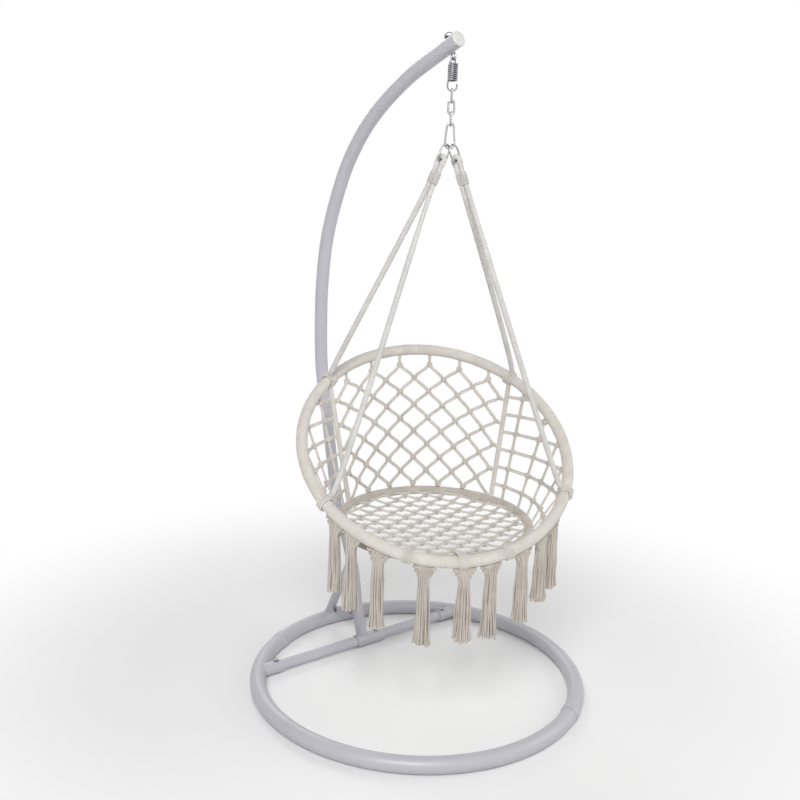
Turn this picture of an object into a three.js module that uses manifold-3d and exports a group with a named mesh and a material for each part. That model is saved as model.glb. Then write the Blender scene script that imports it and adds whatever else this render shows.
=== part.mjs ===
import * as THREE from 'three';
import { mergeVertices } from 'three/addons/utils/BufferGeometryUtils.js';
import Module from 'manifold-3d';

// Hammock chair: a rope seat on two wrapped hoops, hung by a spring and links from a curved
// post that stands on a round tube base. Millimetres, +Z up, -Y is the base ring's open front.

const wasm = await Module();
wasm.setup();

// Driving dimensions of the stand
const ringRadius = 500;
const ringTube = 50;
const ringWall = 2;
const seamAngle = 116;
const seamGap = 0.3;
const spigotLength = 60;
const spigotClearance = 0.4;
const shoulderLength = 6;
const collarLength = 34;
const collarRise = 2.5;
const barY = 290;
const barTube = 34;
const barWall = 2;
const socketTube = 41;
const socketEndX = 325;
const socketDepth = 36;
const fitClearance = 0.35;
const postReach = 581;
const postTopHeight = 1921;
const upperTube = 44;
const upperWall = 2.4;
const lowerWall = 2;
const tubeClearance = 0.6;
const upperStartHeight = 780;
const saddleWall = 3.5;
const saddleLeft = 32;
const saddleRight = 78;
const saddleBoltX = 50;
const postFootBack = 7;
const braceTube = 30;
const braceWall = 2;
const braceSpigotLength = 66;
const braceFootBehind = 9;
const braceFootLift = 6;
const gussetRearAlong = 58.5;
const gussetRearOut = 26.5;
const crimpLength = 14;
const plateThickness = 4;
const plateGap = 0.3;
const plateEndRadius = 11;
const boltRadius = 4;
const boltHoleRadius = 4.8;
const headRadius = 7.5;
const headHeight = 5.5;

// Driving dimensions of the hanger
const plumbY = -54;
const eyeTubeY = -41.3;
const eyeRadius = 8.5;
const eyeWire = 6;
const seatGap = 0.3;
const nutRadius = 13.5;
const nutHeight = 13;
const capPlug = 16;
const capDome = 9;
const hangerTurn = -37.5;
const springWire = 4.5;
const springTurns = 9;
const springTurnGap = 0.6;
const coilRadius = 12;
const hookRadius = 8;
const hookNeck = 7.5;
const endLoopRadius = 13;
const linkWire = 6;
const linkLength = 36.7;
const linkHalfWidth = 8.2;
const hookWire = 6;
const snapTopRadius = 9.5;
const snapBottomRadius = 13.5;
const snapLength = 67.3;
const gateWire = 5.2;
const ropeRingWire = 5.6;
const ropeRingRadius = 19.5;
const ropeRingDrop = 25;
const ropeRingCorner = 6;
const ropeRingAcross = 10;
const ropeRingDepth = 6;
const ropeRingSink = 22;
const ropeRingTurn = 50;
const ropeRingLean = 16;
const ropeRingTilt = 13;

// Driving dimensions of the chair
const chairTurn = -25.2;
const seatHeight = 552;
const seatRadius = 285;
const seatTilt = 1.2;
const outerRadius = 400;
const outerIncline = 35.9;
const seatWrap = 28;
const outerWrap = 34;
const hoopClearance = 2;
const hoopRise = 3;
const coreDiameter = 12;
const coreClearance = 0.6;
const wrapEndGap = 0.6;
const ropeDiameter = 14;
const ropeBend = 1.03;
const whippingFrom = 34;
const whippingLength = 36;
const whippingWall = 3;
const strandGap = 0.8;
const knotLength = 30;
const knotWall = 7.5;
const lashingWall = 5;
const lashingLength = 28;
const lashingSlack = 1;
const borderDiameter = 16;
const strandLead = 14;
const netStrand = 10;
const netThickness = 5;
const rowRise = 55;
const seatPitch = 70;
const seatSag = 12;
const tasselTopWidth = 60;
const tasselTopDepth = 12;
const tasselNeck = 34;

// Angles from the chair's front, in degrees, to the left (negative) and to the right
const rearRopeAngle = 133;
const frontRopeAngle = 62.5;
const borderSeatAngle = 126;
const netFrontSeatAngle = 26;
const netFrontOuterAngle = 34;
const lashingAngles = { lashing_left: -22, lashing_right: 19.5 };
const tasselSizes = [
  { angle: -55.5, length: 212, width: 48 },
  { angle: -46.5, length: 222, width: 58 },
  { angle: -34, length: 228, width: 58 },
  { angle: -15, length: 231, width: 62 },
  { angle: 1, length: 217, width: 66 },
  { angle: 12.2, length: 220, width: 62 },
  { angle: 27.5, length: 213, width: 60 },
  { angle: 39, length: 196, width: 56 },
  { angle: 48, length: 200, width: 54 },
];

// Turns in degrees
const halfTurn = 180;
const fullTurn = 360;

// Counts
const roundSides = 12;
const wireSides = 6;
const springSides = 5;
const ropeSides = 8;
const bandSides = 10;
const springSteps = 8;
const ringSteps = 18;
const hoopSteps = 36;
const backColumns = 6;
const backHalfRows = 10;
const tasselSides = 8;
const plateEndSteps = 4;
const ovalEndSteps = 6;
const eyeSteps = 14;
const linkSteps = 12;
const gapSamples = 4;
const reachHalvings = 24;

const surfaces = {
  powderCoat: new THREE.MeshStandardMaterial({ color: 0xc9c9d6, roughness: 0.5, metalness: 0.3 }),
  zinc: new THREE.MeshStandardMaterial({ color: 0x9a9c9e, roughness: 0.35, metalness: 0.9 }),
  steel: new THREE.MeshStandardMaterial({ color: 0x77797c, roughness: 0.45, metalness: 0.9 }),
  plastic: new THREE.MeshStandardMaterial({ color: 0xe2e3e1, roughness: 0.6, metalness: 0 }),
  cotton: new THREE.MeshStandardMaterial({ color: 0xe9e3d5, roughness: 0.95, metalness: 0 }),
  beigeCotton: new THREE.MeshStandardMaterial({ color: 0xded2bd, roughness: 0.95, metalness: 0 }),
};

const model = new THREE.Group();
const degrees = THREE.MathUtils.degToRad;
const arcDegrees = (length, radius) => THREE.MathUtils.radToDeg(length / radius);
const xAxis = new THREE.Vector3(1, 0, 0);
const yAxis = new THREE.Vector3(0, 1, 0);
const zAxis = new THREE.Vector3(0, 0, 1);

function vector(x, y, z) {
  return new THREE.Vector3(x, y, z);
}

function piece(name, geometry, material, parent = model) {
  const mesh = new THREE.Mesh(geometry, material.clone());
  mesh.name = name;
  parent.add(mesh);
  return mesh;
}

// A curve read only at its own stations, so that a tube has one mitred ring of points at each
class StationCurve extends THREE.Curve {
  constructor(points, startTangent = null, endTangent = null) {
    super();
    Object.assign(this, { points, startTangent, endTangent });
  }

  stationAt(share) {
    return Math.round(share * (this.points.length - 1));
  }

  getPointAt(share, target = new THREE.Vector3()) {
    return target.copy(this.points[this.stationAt(share)]);
  }

  getTangentAt(share, target = new THREE.Vector3()) {
    const last = this.points.length - 1;
    const i = this.stationAt(share);
    if (i === 0 && this.startTangent) return target.copy(this.startTangent);
    if (i === last && this.endTangent) return target.copy(this.endTangent);
    const here = this.points[i];
    const before = here.clone().sub(this.points[Math.max(i - 1, 0)]).normalize();
    const after = this.points[Math.min(i + 1, last)].clone().sub(here).normalize();
    return target.addVectors(before, after).normalize();
  }
}

// Corners of a regular polygon, the first one half a step round
function polygonPoints(radius, sides) {
  return Array.from({ length: sides }, (_, k) => {
    const angle = ((k + 0.5) * 2 * Math.PI) / sides;
    return new THREE.Vector2(radius * Math.cos(angle), radius * Math.sin(angle));
  });
}

function tubeSection(radius, sides, bore = 0, boreSides = sides) {
  const shape = new THREE.Shape(polygonPoints(radius, sides));
  if (bore > 0) shape.holes.push(new THREE.Path(polygonPoints(bore, boreSides)));
  return shape;
}

function sweep(shape, points, startTangent = null, endTangent = null) {
  const extrudePath = new StationCurve(points, startTangent, endTangent);
  return new THREE.ExtrudeGeometry(shape, { steps: points.length - 1, extrudePath });
}

function tube(points, radius, sides = roundSides, bore = 0) {
  return sweep(tubeSection(radius, sides, bore), points);
}

// A tube along a closed flat path has no ends, so its rings of points are joined directly
function closedTube(points, radius, sides, normal) {
  const count = points.length;
  const positions = [];
  const indices = [];
  points.forEach((point, i) => {
    const before = point.clone().sub(points[(i + count - 1) % count]).normalize();
    const after = points[(i + 1) % count].clone().sub(point).normalize();
    const side = before.add(after).normalize().cross(normal);
    for (const corner of polygonPoints(radius, sides)) {
      const place = point.clone().addScaledVector(normal, corner.x).addScaledVector(side, corner.y);
      positions.push(place.x, place.y, place.z);
    }
    for (let k = 0; k < sides; k += 1) {
      const next = ((i + 1) % count) * sides;
      const here = i * sides;
      const turned = (k + 1) % sides;
      indices.push(here + k, here + turned, next + turned, here + k, next + turned, next + k);
    }
  });
  const geometry = new THREE.BufferGeometry();
  geometry.setAttribute('position', new THREE.Float32BufferAttribute(positions, 3));
  geometry.setIndex(indices);
  geometry.computeVertexNormals();
  return geometry;
}

function solid(geometry) {
  const bare = geometry.clone();
  bare.deleteAttribute('normal');
  bare.deleteAttribute('uv');
  const merged = mergeVertices(bare);
  const vertProperties = new Float32Array(merged.attributes.position.array);
  const triVerts = new Uint32Array(merged.index.array);
  return new wasm.Manifold(new wasm.Mesh({ numProp: 3, vertProperties, triVerts }));
}

function fromSolid(body) {
  const mesh = body.getMesh();
  const geometry = new THREE.BufferGeometry();
  geometry.setAttribute('position', new THREE.Float32BufferAttribute(mesh.vertProperties, 3));
  geometry.setIndex(Array.from(mesh.triVerts));
  geometry.computeVertexNormals();
  return geometry;
}

function straight(from, to, radius, sides = roundSides, bore = 0) {
  return solid(tube([from, to], radius, sides, bore));
}

// Stand: base ring
const ringTubeRadius = ringTube / 2;
const ringHeight = ringTubeRadius * Math.cos(Math.PI / roundSides);
const ringBore = ringTubeRadius - ringWall;
const ringStep = halfTurn / ringSteps;
const overrun = 2 * ringWall;

function ringPoint(angle) {
  return vector(ringRadius * Math.cos(degrees(angle)), ringRadius * Math.sin(degrees(angle)), ringHeight);
}

function ringTangent(angle) {
  return vector(-Math.sin(degrees(angle)), Math.cos(degrees(angle)), 0);
}

function ringArc(from, margin) {
  const points = Array.from({ length: ringSteps + 1 }, (_, k) => ringPoint(from + k * ringStep));
  const firstChord = points[1].clone().sub(points[0]).normalize();
  const lastChord = points[ringSteps].clone().sub(points[ringSteps - 1]).normalize();
  points[0].addScaledVector(firstChord, margin);
  points[ringSteps].addScaledVector(lastChord, -margin);
  return points;
}

function ringSweep(from, margin, radius) {
  const shape = tubeSection(radius, roundSides);
  return solid(sweep(shape, ringArc(from, margin), ringTangent(from), ringTangent(from + halfTurn)));
}

// One half of the ring: a socket with a collar at its start and a spigot at its end
function ringHalf(from, extras) {
  const end = from + halfTurn;
  const start = ringPoint(from).addScaledVector(ringTangent(from), seamGap / 2);
  const firstChord = ringPoint(from + ringStep).sub(ringPoint(from)).normalize();
  const collarEnd = start.clone().addScaledVector(firstChord, collarLength);
  const collarShape = tubeSection(ringTubeRadius + collarRise, roundSides);
  let body = ringSweep(from, seamGap / 2, ringTubeRadius);
  body = body.add(solid(sweep(collarShape, [start, collarEnd], ringTangent(from))));
  for (const extra of extras) body = body.add(extra);
  body = body.subtract(ringSweep(from, -overrun, ringBore));
  const lip = ringPoint(end).addScaledVector(ringTangent(end), -seamGap / 2);
  const lastChord = ringPoint(end).sub(ringPoint(end - ringStep)).normalize();
  const lipStart = lip.clone().addScaledVector(lastChord, -shoulderLength);
  const shoulderShape = tubeSection(ringTubeRadius - ringWall / 2, roundSides);
  const shoulder = solid(sweep(shoulderShape, [lipStart, lip], null, ringTangent(end)));
  const nextChord = ringPoint(end + ringStep).sub(ringPoint(end)).normalize();
  const alongSpigot = (length) => ringPoint(end).addScaledVector(nextChord, length);
  const spigotRadius = ringBore - spigotClearance;
  const spigot = straight(alongSpigot(-shoulderLength / 2), alongSpigot(spigotLength), spigotRadius);
  const hollow = [alongSpigot(-2 * shoulderLength), alongSpigot(spigotLength + overrun)];
  const underFloor = new THREE.BoxGeometry(3 * ringRadius, 3 * ringRadius, ringTube);
  underFloor.translate(0, 0, -ringTube / 2);
  body = body.subtract(solid(underFloor)).add(shoulder).add(spigot);
  return body.subtract(straight(...hollow, spigotRadius - ringWall));
}

// Sockets for the cross bar, welded on the inside of the ring
const barRadius = barTube / 2;
const barEndX = socketEndX + socketDepth;
const ringXAtBar = Math.sqrt(ringRadius ** 2 - barY ** 2);

function atBar(x) {
  return vector(x, barY, ringHeight);
}

function barSocket(side) {
  return straight(atBar(side * ringXAtBar), atBar(side * socketEndX), socketTube / 2);
}

function barSocketCut(side) {
  const boreEnds = [atBar(side * (barEndX + seamGap)), atBar(side * (socketEndX - overrun))];
  const bore = straight(...boreEnds, barRadius + fitClearance);
  return bore.add(boltHole(vector(side * socketBoltX, barY, ringHeight), zAxis, 0, socketTube));
}

const socketBoltX = socketEndX + socketDepth / 2;

function boltHole(at, direction, from, to) {
  const ends = [at.clone().addScaledVector(direction, from), at.clone().addScaledVector(direction, to)];
  return straight(...ends, boltHoleRadius, wireSides);
}

// Post centreline: a lower bend, a straight middle and an arch, as shares of its reach and height
const postLowShares = [[0.577, 0.076], [0.62, 0.134], [0.719, 0.2], [0.819, 0.267]];
const postArchShares = [
  [0.99, 0.489], [1, 0.56], [0.993, 0.625], [0.952, 0.7], [0.866, 0.769], [0.742, 0.8355],
  [0.5525, 0.8975], [0.267, 0.954], [0, 0.9885], [-0.07, 0.9971], [-0.1214, 1.0035],
];
const lowBendSteps = 7;
const archSteps = 17;

function postPoint([reachShare, heightShare]) {
  return vector(0, reachShare * postReach, heightShare * postTopHeight);
}

function bentPoints(places, steps) {
  return new THREE.CatmullRomCurve3(places, false, 'centripetal').getSpacedPoints(steps);
}

const footPoint = atBar(0).add(vector(0, postFootBack, 0));
const straightEndShare = [0.974, 0.458];
const straightStartShare = [0.842, 0.2915];
const straightEnd = postPoint(straightEndShare);
const lowBend = [footPoint, ...postLowShares.map(postPoint)];
const lowPoints = bentPoints([...lowBend, postPoint(straightStartShare)], lowBendSteps);
const archPoints = bentPoints([straightEnd, ...postArchShares.map(postPoint)], archSteps);
const middleTop = archPoints[0];
const middleBase = lowPoints[lowBendSteps];
const middleDirection = middleTop.clone().sub(middleBase).normalize();

function onMiddle(height) {
  return middleBase.clone().addScaledVector(middleDirection, (height - middleBase.z) / middleDirection.z);
}

// The straight middle carries the joint between the lower and the upper tube
const upperRadius = upperTube / 2;
const upperBore = upperRadius - upperWall;
const lowerRadius = upperBore - tubeClearance;
const lowerBore = lowerRadius - lowerWall;
const lowerPath = [...lowPoints, onMiddle(middleTop.z - overrun)];
const upperPath = [onMiddle(upperStartHeight), ...archPoints];

// Outline with round ends about two places on a plane, each with its radius
function ovalPoints([[y0, z0, r0], [y1, z1, r1]], endSteps) {
  const lean = Math.atan2(z1 - z0, y1 - y0);
  const corners = [];
  for (const [y, z, radius, first] of [[y1, z1, r1, lean - Math.PI / 2], [y0, z0, r0, lean + Math.PI / 2]]) {
    for (let k = 0; k <= endSteps; k += 1) {
      const angle = first + (k * Math.PI) / endSteps;
      corners.push(new THREE.Vector2(y + radius * Math.cos(angle), z + radius * Math.sin(angle)));
    }
  }
  return corners;
}

function flatExtrude(shape, depth) {
  return new THREE.ExtrudeGeometry(shape, { depth, bevelEnabled: false });
}

// Flat plate with round ends between two places, upright along X from x0 to x1
function linkPlate(from, to, [x0, x1]) {
  const outline = ovalPoints([from, to].map(({ y, z }) => [y, z, plateEndRadius]), plateEndSteps);
  const plate = flatExtrude(new THREE.Shape(outline), x1 - x0);
  plate.applyMatrix4(new THREE.Matrix4().makeBasis(yAxis, zAxis, xAxis));
  return solid(plate.translate(x0, 0, 0));
}

// Rear brace and the link that ties it to the post
const braceTopShare = [0.6713, 0.1312];
const gussetFrontShare = [0.63, 0.051];
const braceFoot = vector(0, ringRadius + braceFootBehind, ringHeight + braceFootLift);
const braceTopBolt = postPoint(braceTopShare);
const gussetFrontBolt = postPoint(gussetFrontShare);
const braceDirection = braceTopBolt.clone().sub(braceFoot).normalize();
const braceSide = xAxis.clone().cross(braceDirection);
const braceRadius = braceTube / 2;
const braceBore = braceRadius - braceWall;
const braceLength = braceTopBolt.distanceTo(braceFoot);
const braceEndLength = braceLength - 2 * plateEndRadius;
const lugX = [plateGap, plateGap + plateThickness];
const tabX = [-plateGap - plateThickness, -plateGap];

function onBrace(length) {
  return braceFoot.clone().addScaledVector(braceDirection, length);
}

const gussetRearBolt = onBrace(gussetRearAlong).addScaledVector(braceSide, gussetRearOut);

function nearestOn(path, point) {
  let best = null;
  for (let i = 1; i < path.length; i += 1) {
    const place = new THREE.Line3(path[i - 1], path[i]).closestPointToPoint(point, true, vector(0, 0, 0));
    if (best === null || place.distanceTo(point) < best.distanceTo(point)) best = place;
  }
  return best;
}

function lugHole(bolt) {
  return boltHole(bolt, xAxis, -3 * plateThickness, 3 * plateThickness);
}

function braceSolid() {
  const lugRoot = onBrace(gussetRearAlong);
  const crimpStart = onBrace(braceEndLength - crimpLength);
  let body = straight(braceFoot, onBrace(braceEndLength), braceRadius);
  body = body.add(linkPlate(crimpStart, braceTopBolt, tabX));
  body = body.add(linkPlate(lugRoot, gussetRearBolt, lugX));
  body = body.subtract(straight(onBrace(-ringTube), crimpStart, braceBore));
  body = body.subtract(ringSweep(seamAngle + halfTurn, -overrun, ringTubeRadius + fitClearance));
  return body.subtract(lugHole(braceTopBolt)).subtract(lugHole(gussetRearBolt));
}

function braceSpigot() {
  return straight(braceFoot, onBrace(braceSpigotLength), braceBore - spigotClearance);
}

function lowerPostSolid() {
  const saddleRadius = barRadius + fitClearance + saddleWall;
  const saddle = straight(atBar(-saddleLeft), atBar(saddleRight), saddleRadius);
  const under = new THREE.BoxGeometry(2 * (saddleLeft + saddleRight), 4 * barTube, 2 * barTube);
  under.translate(0, barY, ringHeight - barTube);
  let body = solid(tube(lowerPath, lowerRadius)).add(saddle);
  for (const bolt of [braceTopBolt, gussetFrontBolt]) {
    body = body.add(linkPlate(nearestOn(lowerPath, bolt), bolt, lugX));
    body = body.subtract(lugHole(bolt));
  }
  const borePath = [...lowerPath.slice(1), onMiddle(middleTop.z + overrun)];
  body = body.subtract(solid(tube(borePath, lowerBore))).subtract(solid(under));
  body = body.subtract(straight(atBar(-barEndX), atBar(barEndX), barRadius + fitClearance));
  return body.subtract(boltHole(atBar(saddleBoltX), zAxis, 0, barTube));
}

piece('ring_front_left', fromSolid(
  ringHalf(seamAngle, [barSocket(-1)]).subtract(barSocketCut(-1)),
), surfaces.powderCoat);
piece('ring_rear_right', fromSolid(
  ringHalf(seamAngle + halfTurn, [barSocket(1), braceSpigot()]).subtract(barSocketCut(1)),
), surfaces.powderCoat);

let crossBar = straight(atBar(-barEndX), atBar(barEndX), barRadius, roundSides, barRadius - barWall);
for (const x of [-socketBoltX, socketBoltX, saddleBoltX]) {
  crossBar = crossBar.subtract(boltHole(atBar(x), zAxis, 0, barTube));
}
piece('cross_bar', fromSolid(crossBar), surfaces.powderCoat);
piece('post_lower', fromSolid(lowerPostSolid()), surfaces.powderCoat);
piece('rear_brace', fromSolid(braceSolid()), surfaces.powderCoat);
piece('gusset_link', fromSolid(
  linkPlate(gussetFrontBolt, gussetRearBolt, tabX)
    .subtract(lugHole(gussetFrontBolt)).subtract(lugHole(gussetRearBolt)),
), surfaces.powderCoat);

function latheProfile(places, sides = wireSides) {
  const profile = places.map(([radius, height]) => new THREE.Vector2(radius, height));
  return new THREE.LatheGeometry(profile, sides);
}

// Bolt with its head at the top, its shank downwards from the seat at height zero
function headedBolt(length) {
  return latheProfile([[0, -length], [boltRadius, -length], [boltRadius, 0], [headRadius, 0],
    [headRadius, headHeight], [0, headHeight]]).rotateX(Math.PI / 2);
}

function topBolt(name, x, tubeRadius) {
  const bolt = piece(name, headedBolt(tubeRadius - barRadius + 3 * barWall), surfaces.zinc);
  bolt.position.copy(atBar(x));
  bolt.position.z += tubeRadius * Math.cos(Math.PI / roundSides) + seatGap;
}

topBolt('cross_bar_bolt_left', -socketBoltX, socketTube / 2);
topBolt('cross_bar_bolt_right', socketBoltX, socketTube / 2);
topBolt('post_foot_bolt', saddleBoltX, barRadius + fitClearance + saddleWall);

// Bolt through two plates, with its head on the -X side and its nut on the +X side
function plateBolt(name, at) {
  const half = plateGap + plateThickness + seatGap;
  const end = half + headHeight;
  const head = [[0, -end], [headRadius, -end], [headRadius, -half], [boltRadius, -half]];
  const nut = [[boltRadius, half], [headRadius, half], [headRadius, end], [0, end]];
  const geometry = latheProfile([...head, ...nut]).rotateZ(-Math.PI / 2);
  piece(name, geometry, surfaces.zinc).position.copy(at);
}

plateBolt('brace_top_bolt', braceTopBolt);
plateBolt('gusset_bolt_rear', gussetRearBolt);
plateBolt('gusset_bolt_front', gussetFrontBolt);

// Upper post with the eye bolt near its tip
const tip = archPoints[archSteps];
const beforeTip = archPoints[archSteps - 1];
const tipDirection = tip.clone().sub(beforeTip).normalize();
const tipLean = Math.atan2(tipDirection.z, -tipDirection.y);
const eyeOnTube = beforeTip.clone().lerp(tip, (eyeTubeY - beforeTip.y) / (tip.y - beforeTip.y));
const tipUp = vector(0, Math.sin(tipLean), Math.cos(tipLean));
let upperPost = solid(tube(upperPath, upperRadius, roundSides, upperBore));
upperPost = upperPost.subtract(boltHole(eyeOnTube, tipUp, -upperTube, upperTube));
piece('post_upper', fromSolid(upperPost), surfaces.powderCoat);

const capShares = [[1, 0], [0.96, 0.35], [0.8, 0.7], [0.5, 0.93], [0, 1]];
const capPlugRadius = upperBore - fitClearance;
const plugProfile = [[0, -capPlug], [capPlugRadius, -capPlug], [capPlugRadius, seatGap]];
const domeProfile = capShares.map(([wide, tall]) => [upperRadius * wide, seatGap + capDome * tall]);
const capGeometry = latheProfile([...plugProfile, ...domeProfile], roundSides).rotateY(Math.PI / roundSides);
const tipCap = piece('tip_cap', capGeometry, surfaces.plastic);
tipCap.position.copy(tip);
tipCap.quaternion.setFromUnitVectors(yAxis, tipDirection);

// Eye bolt, in a group that leans with the tip
const eyeWireRadius = eyeWire / 2;
const eyeDrop = upperRadius + seatGap + eyeRadius + eyeWireRadius;
const eyeGroup = new THREE.Group();
eyeGroup.position.copy(eyeOnTube);
eyeGroup.rotation.x = -tipLean;
model.add(eyeGroup);
const eyeLoop = new THREE.TorusGeometry(eyeRadius, eyeWireRadius, wireSides, eyeSteps);
eyeLoop.rotateY(Math.PI / 2).translate(0, 0, -eyeDrop);
const eyeShankTop = upperRadius + nutHeight / 2;
const eyeShankEnds = [vector(0, 0, eyeRadius - eyeDrop), vector(0, 0, eyeShankTop)];
const eyeShank = straight(...eyeShankEnds, boltRadius, wireSides);
piece('eye_bolt', fromSolid(solid(eyeLoop).add(eyeShank)), surfaces.zinc, eyeGroup);
const nutShares = [[1, 0], [1, 0.4], [0.85, 0.75], [0.5, 0.95], [0, 1]];
const nutPocket = eyeShankTop - upperRadius + seatGap;
const nutProfile = nutShares.map(([wide, tall]) => [nutRadius * wide, nutHeight * tall]);
const eyeNutPlaces = [[0, nutPocket], [boltHoleRadius, nutPocket], [boltHoleRadius, 0], ...nutProfile];
const nutGeometry = latheProfile(eyeNutPlaces, bandSides).rotateX(Math.PI / 2);
const eyeNut = piece('eye_nut', nutGeometry, surfaces.steel, eyeGroup);
eyeNut.position.z = upperRadius + seatGap;

// Hanger: everything hangs in one line under the eye, each piece seated on the one above
const eyeCentre = eyeOnTube.clone().addScaledVector(tipUp, -eyeDrop);
const springWireRadius = springWire / 2;
const linkRadius = linkWire / 2;
const hookTop = eyeCentre.z - eyeRadius + eyeWireRadius + springWireRadius + seatGap;
const hanger = new THREE.Group();
hanger.position.set(0, plumbY, 0);
hanger.rotation.z = degrees(hangerTurn);
model.add(hanger);
const plumb = vector(0, plumbY, 0);

// Spring: top hook across the eye, the coil, and an end loop turned to face the links
const springPitch = springWire + springTurnGap;
const hookCentre = hookTop - hookRadius;
const coilTop = hookCentre - hookNeck;
const coilTurns = springTurns + hangerTurn / 360;
const coilBottom = coilTop - coilTurns * springPitch;
const endLoopCentre = coilBottom - endLoopRadius;
const springPoints = [];
for (const angle of [-30, 0, 30, 60, 90, 120, 150, 180]) {
  const place = onCircle(hookRadius, angle, 0, hookCentre);
  springPoints.push(turned(place.x, place.z, -hangerTurn));
}
const coilSteps = Math.round(coilTurns * springSteps);
for (let k = 0; k <= coilSteps; k += 1) {
  const share = k / coilSteps;
  const angle = 180 - hangerTurn + 360 * coilTurns * share;
  springPoints.push(turned(coilRadius, coilTop - share * (coilTop - coilBottom), angle));
}
for (const angle of [158, 180, 210, 240, 270, 300, 330, 360, 385]) {
  springPoints.push(onCircle(endLoopRadius, angle, 0, endLoopCentre));
}

function onCircle(radius, angle, x, height) {
  return vector(x + radius * Math.cos(degrees(angle)), 0, height + radius * Math.sin(degrees(angle)));
}

function turned(radius, height, angle) {
  return vector(radius * Math.cos(degrees(angle)), radius * Math.sin(degrees(angle)), height);
}

// Least distance between places on the wire that are at least three quarters of a turn apart
function springSelfGap(points) {
  const places = [];
  const fine = new THREE.Vector3();
  for (let i = 1; i < points.length; i += 1) {
    for (let k = 0; k < gapSamples; k += 1) {
      places.push(fine.lerpVectors(points[i - 1], points[i], k / gapSamples).clone());
    }
  }
  let least = Infinity;
  const apart = 0.75 * gapSamples * springSteps;
  for (let i = 0; i < places.length; i += 1) {
    for (let j = i + apart; j < places.length; j += 1) {
      least = Math.min(least, places[i].distanceTo(places[j]));
    }
  }
  return least - springWire;
}

console.log(`spring: least gap to itself ${springSelfGap(springPoints).toFixed(2)} mm`);
piece('spring', tube(springPoints, springWireRadius, springSides), surfaces.zinc, hanger);

// Oval chain link: a torus parted at its middle, so its sides are straight
function chainLink() {
  const half = linkLength / 2 - linkHalfWidth;
  const link = new THREE.TorusGeometry(linkHalfWidth, linkRadius, wireSides, linkSteps);
  link.rotateZ(Math.PI / linkSteps);
  const places = link.attributes.position;
  for (let i = 0; i < places.count; i += 1) {
    places.setY(i, places.getY(i) + half * Math.sign(places.getY(i)));
  }
  return link.rotateX(Math.PI / 2);
}

let seatBelow = endLoopCentre - endLoopRadius + springWireRadius + linkRadius + seatGap;
for (const number of [1, 2, 3]) {
  const link = piece(`link_${number}`, chainLink(), surfaces.zinc, hanger);
  link.position.z = seatBelow - linkLength / 2;
  link.rotation.z = number % 2 === 1 ? Math.PI / 2 : 0;
  seatBelow += linkWire + seatGap - linkLength;
}

// Snap hook: a pear-shaped wire with a straight gate on its right side
const snapRadius = hookWire / 2;
const snapTop = seatBelow - linkRadius + snapRadius;
const snapTopCentre = snapTop - snapTopRadius;
const snapBottomCentre = snapTop - snapLength + snapBottomRadius;
const gateHinge = vector(snapBottomRadius, 0, snapBottomCentre);
const gateNose = vector(snapTopRadius, 0, snapTopCentre);
const gateDirection = gateNose.clone().sub(gateHinge).normalize();
const gateRadius = gateWire / 2;
const gateFootLift = snapRadius + gateRadius;
const gateLength = gateHinge.distanceTo(gateNose) - gateFootLift - snapRadius;

function onGate(length) {
  return gateHinge.clone().addScaledVector(gateDirection, length);
}

function snapPoints() {
  const places = [onGate(gateFootLift + gateLength + seatGap)];
  for (const angle of [0, 30, 60, 90, 120, 150, 180]) {
    places.push(onCircle(snapTopRadius, angle, 0, snapTopCentre));
  }
  for (const angle of [180, 210, 240, 270, 300, 330, 360]) {
    places.push(onCircle(snapBottomRadius, angle, 0, snapBottomCentre));
  }
  places.push(onGate(gateFootLift - gateRadius - seatGap));
  return places;
}

piece('carabiner', tube(snapPoints(), snapRadius, wireSides), surfaces.zinc, hanger);
const gateShares = [[0, -1], [0.6, -0.8], [1, 0]];
const gateFoot = gateShares.map(([wide, tall]) => [gateRadius * wide, gateRadius * tall]);
const gateGeometry = latheProfile([...gateFoot, [gateRadius, gateLength], [0, gateLength]]);
const gate = piece('carabiner_gate', gateGeometry, surfaces.zinc, hanger);
gate.position.copy(onGate(gateFootLift));
gate.quaternion.setFromUnitVectors(yAxis, gateDirection);

// Rope rings: round at the top, with a straight bar at the bottom for the rope
const ropeRingHeight = snapBottomCentre - ropeRingSink;

function ropeRingPoints() {
  const places = [];
  const corner = ropeRingRadius - ropeRingCorner;
  const low = ropeRingDrop - ropeRingCorner;
  for (let angle = 0; angle <= 180; angle += 22.5) places.push(onCircle(ropeRingRadius, angle, 0, 0));
  for (const angle of [180, 225, 270]) places.push(onCircle(ropeRingCorner, angle, -corner, -low));
  for (const angle of [270, 315, 360]) places.push(onCircle(ropeRingCorner, angle, corner, -low));
  return places;
}

// Each ring leans and tilts towards its rope, about the top where it hangs on the snap hook
function ropeRingPlace(side) {
  const turn = degrees(side < 0 ? ropeRingTurn : ropeRingTurn + halfTurn);
  const place = new THREE.Matrix4().makeTranslation(
    side * ropeRingAcross, side * ropeRingDepth, ropeRingHeight + ropeRingRadius);
  place.multiply(new THREE.Matrix4().makeRotationZ(turn));
  place.multiply(new THREE.Matrix4().makeRotationX(degrees(ropeRingTilt)));
  place.multiply(new THREE.Matrix4().makeTranslation(0, 0, -ropeRingRadius));
  return place.multiply(new THREE.Matrix4().makeRotationY(degrees(ropeRingLean)));
}

const sides = { left: -1, right: 1 };

for (const [name, side] of Object.entries(sides)) {
  const ring = closedTube(ropeRingPoints(), ropeRingWire / 2, wireSides, yAxis);
  piece(`rope_ring_${name}`, ring, surfaces.zinc, hanger).applyMatrix4(ropeRingPlace(side));
}

// Chair: its own frame under the plumb point, -Y is its open front
const chair = new THREE.Group();
chair.position.copy(plumb);
chair.rotation.z = degrees(chairTurn);
model.add(chair);

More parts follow.
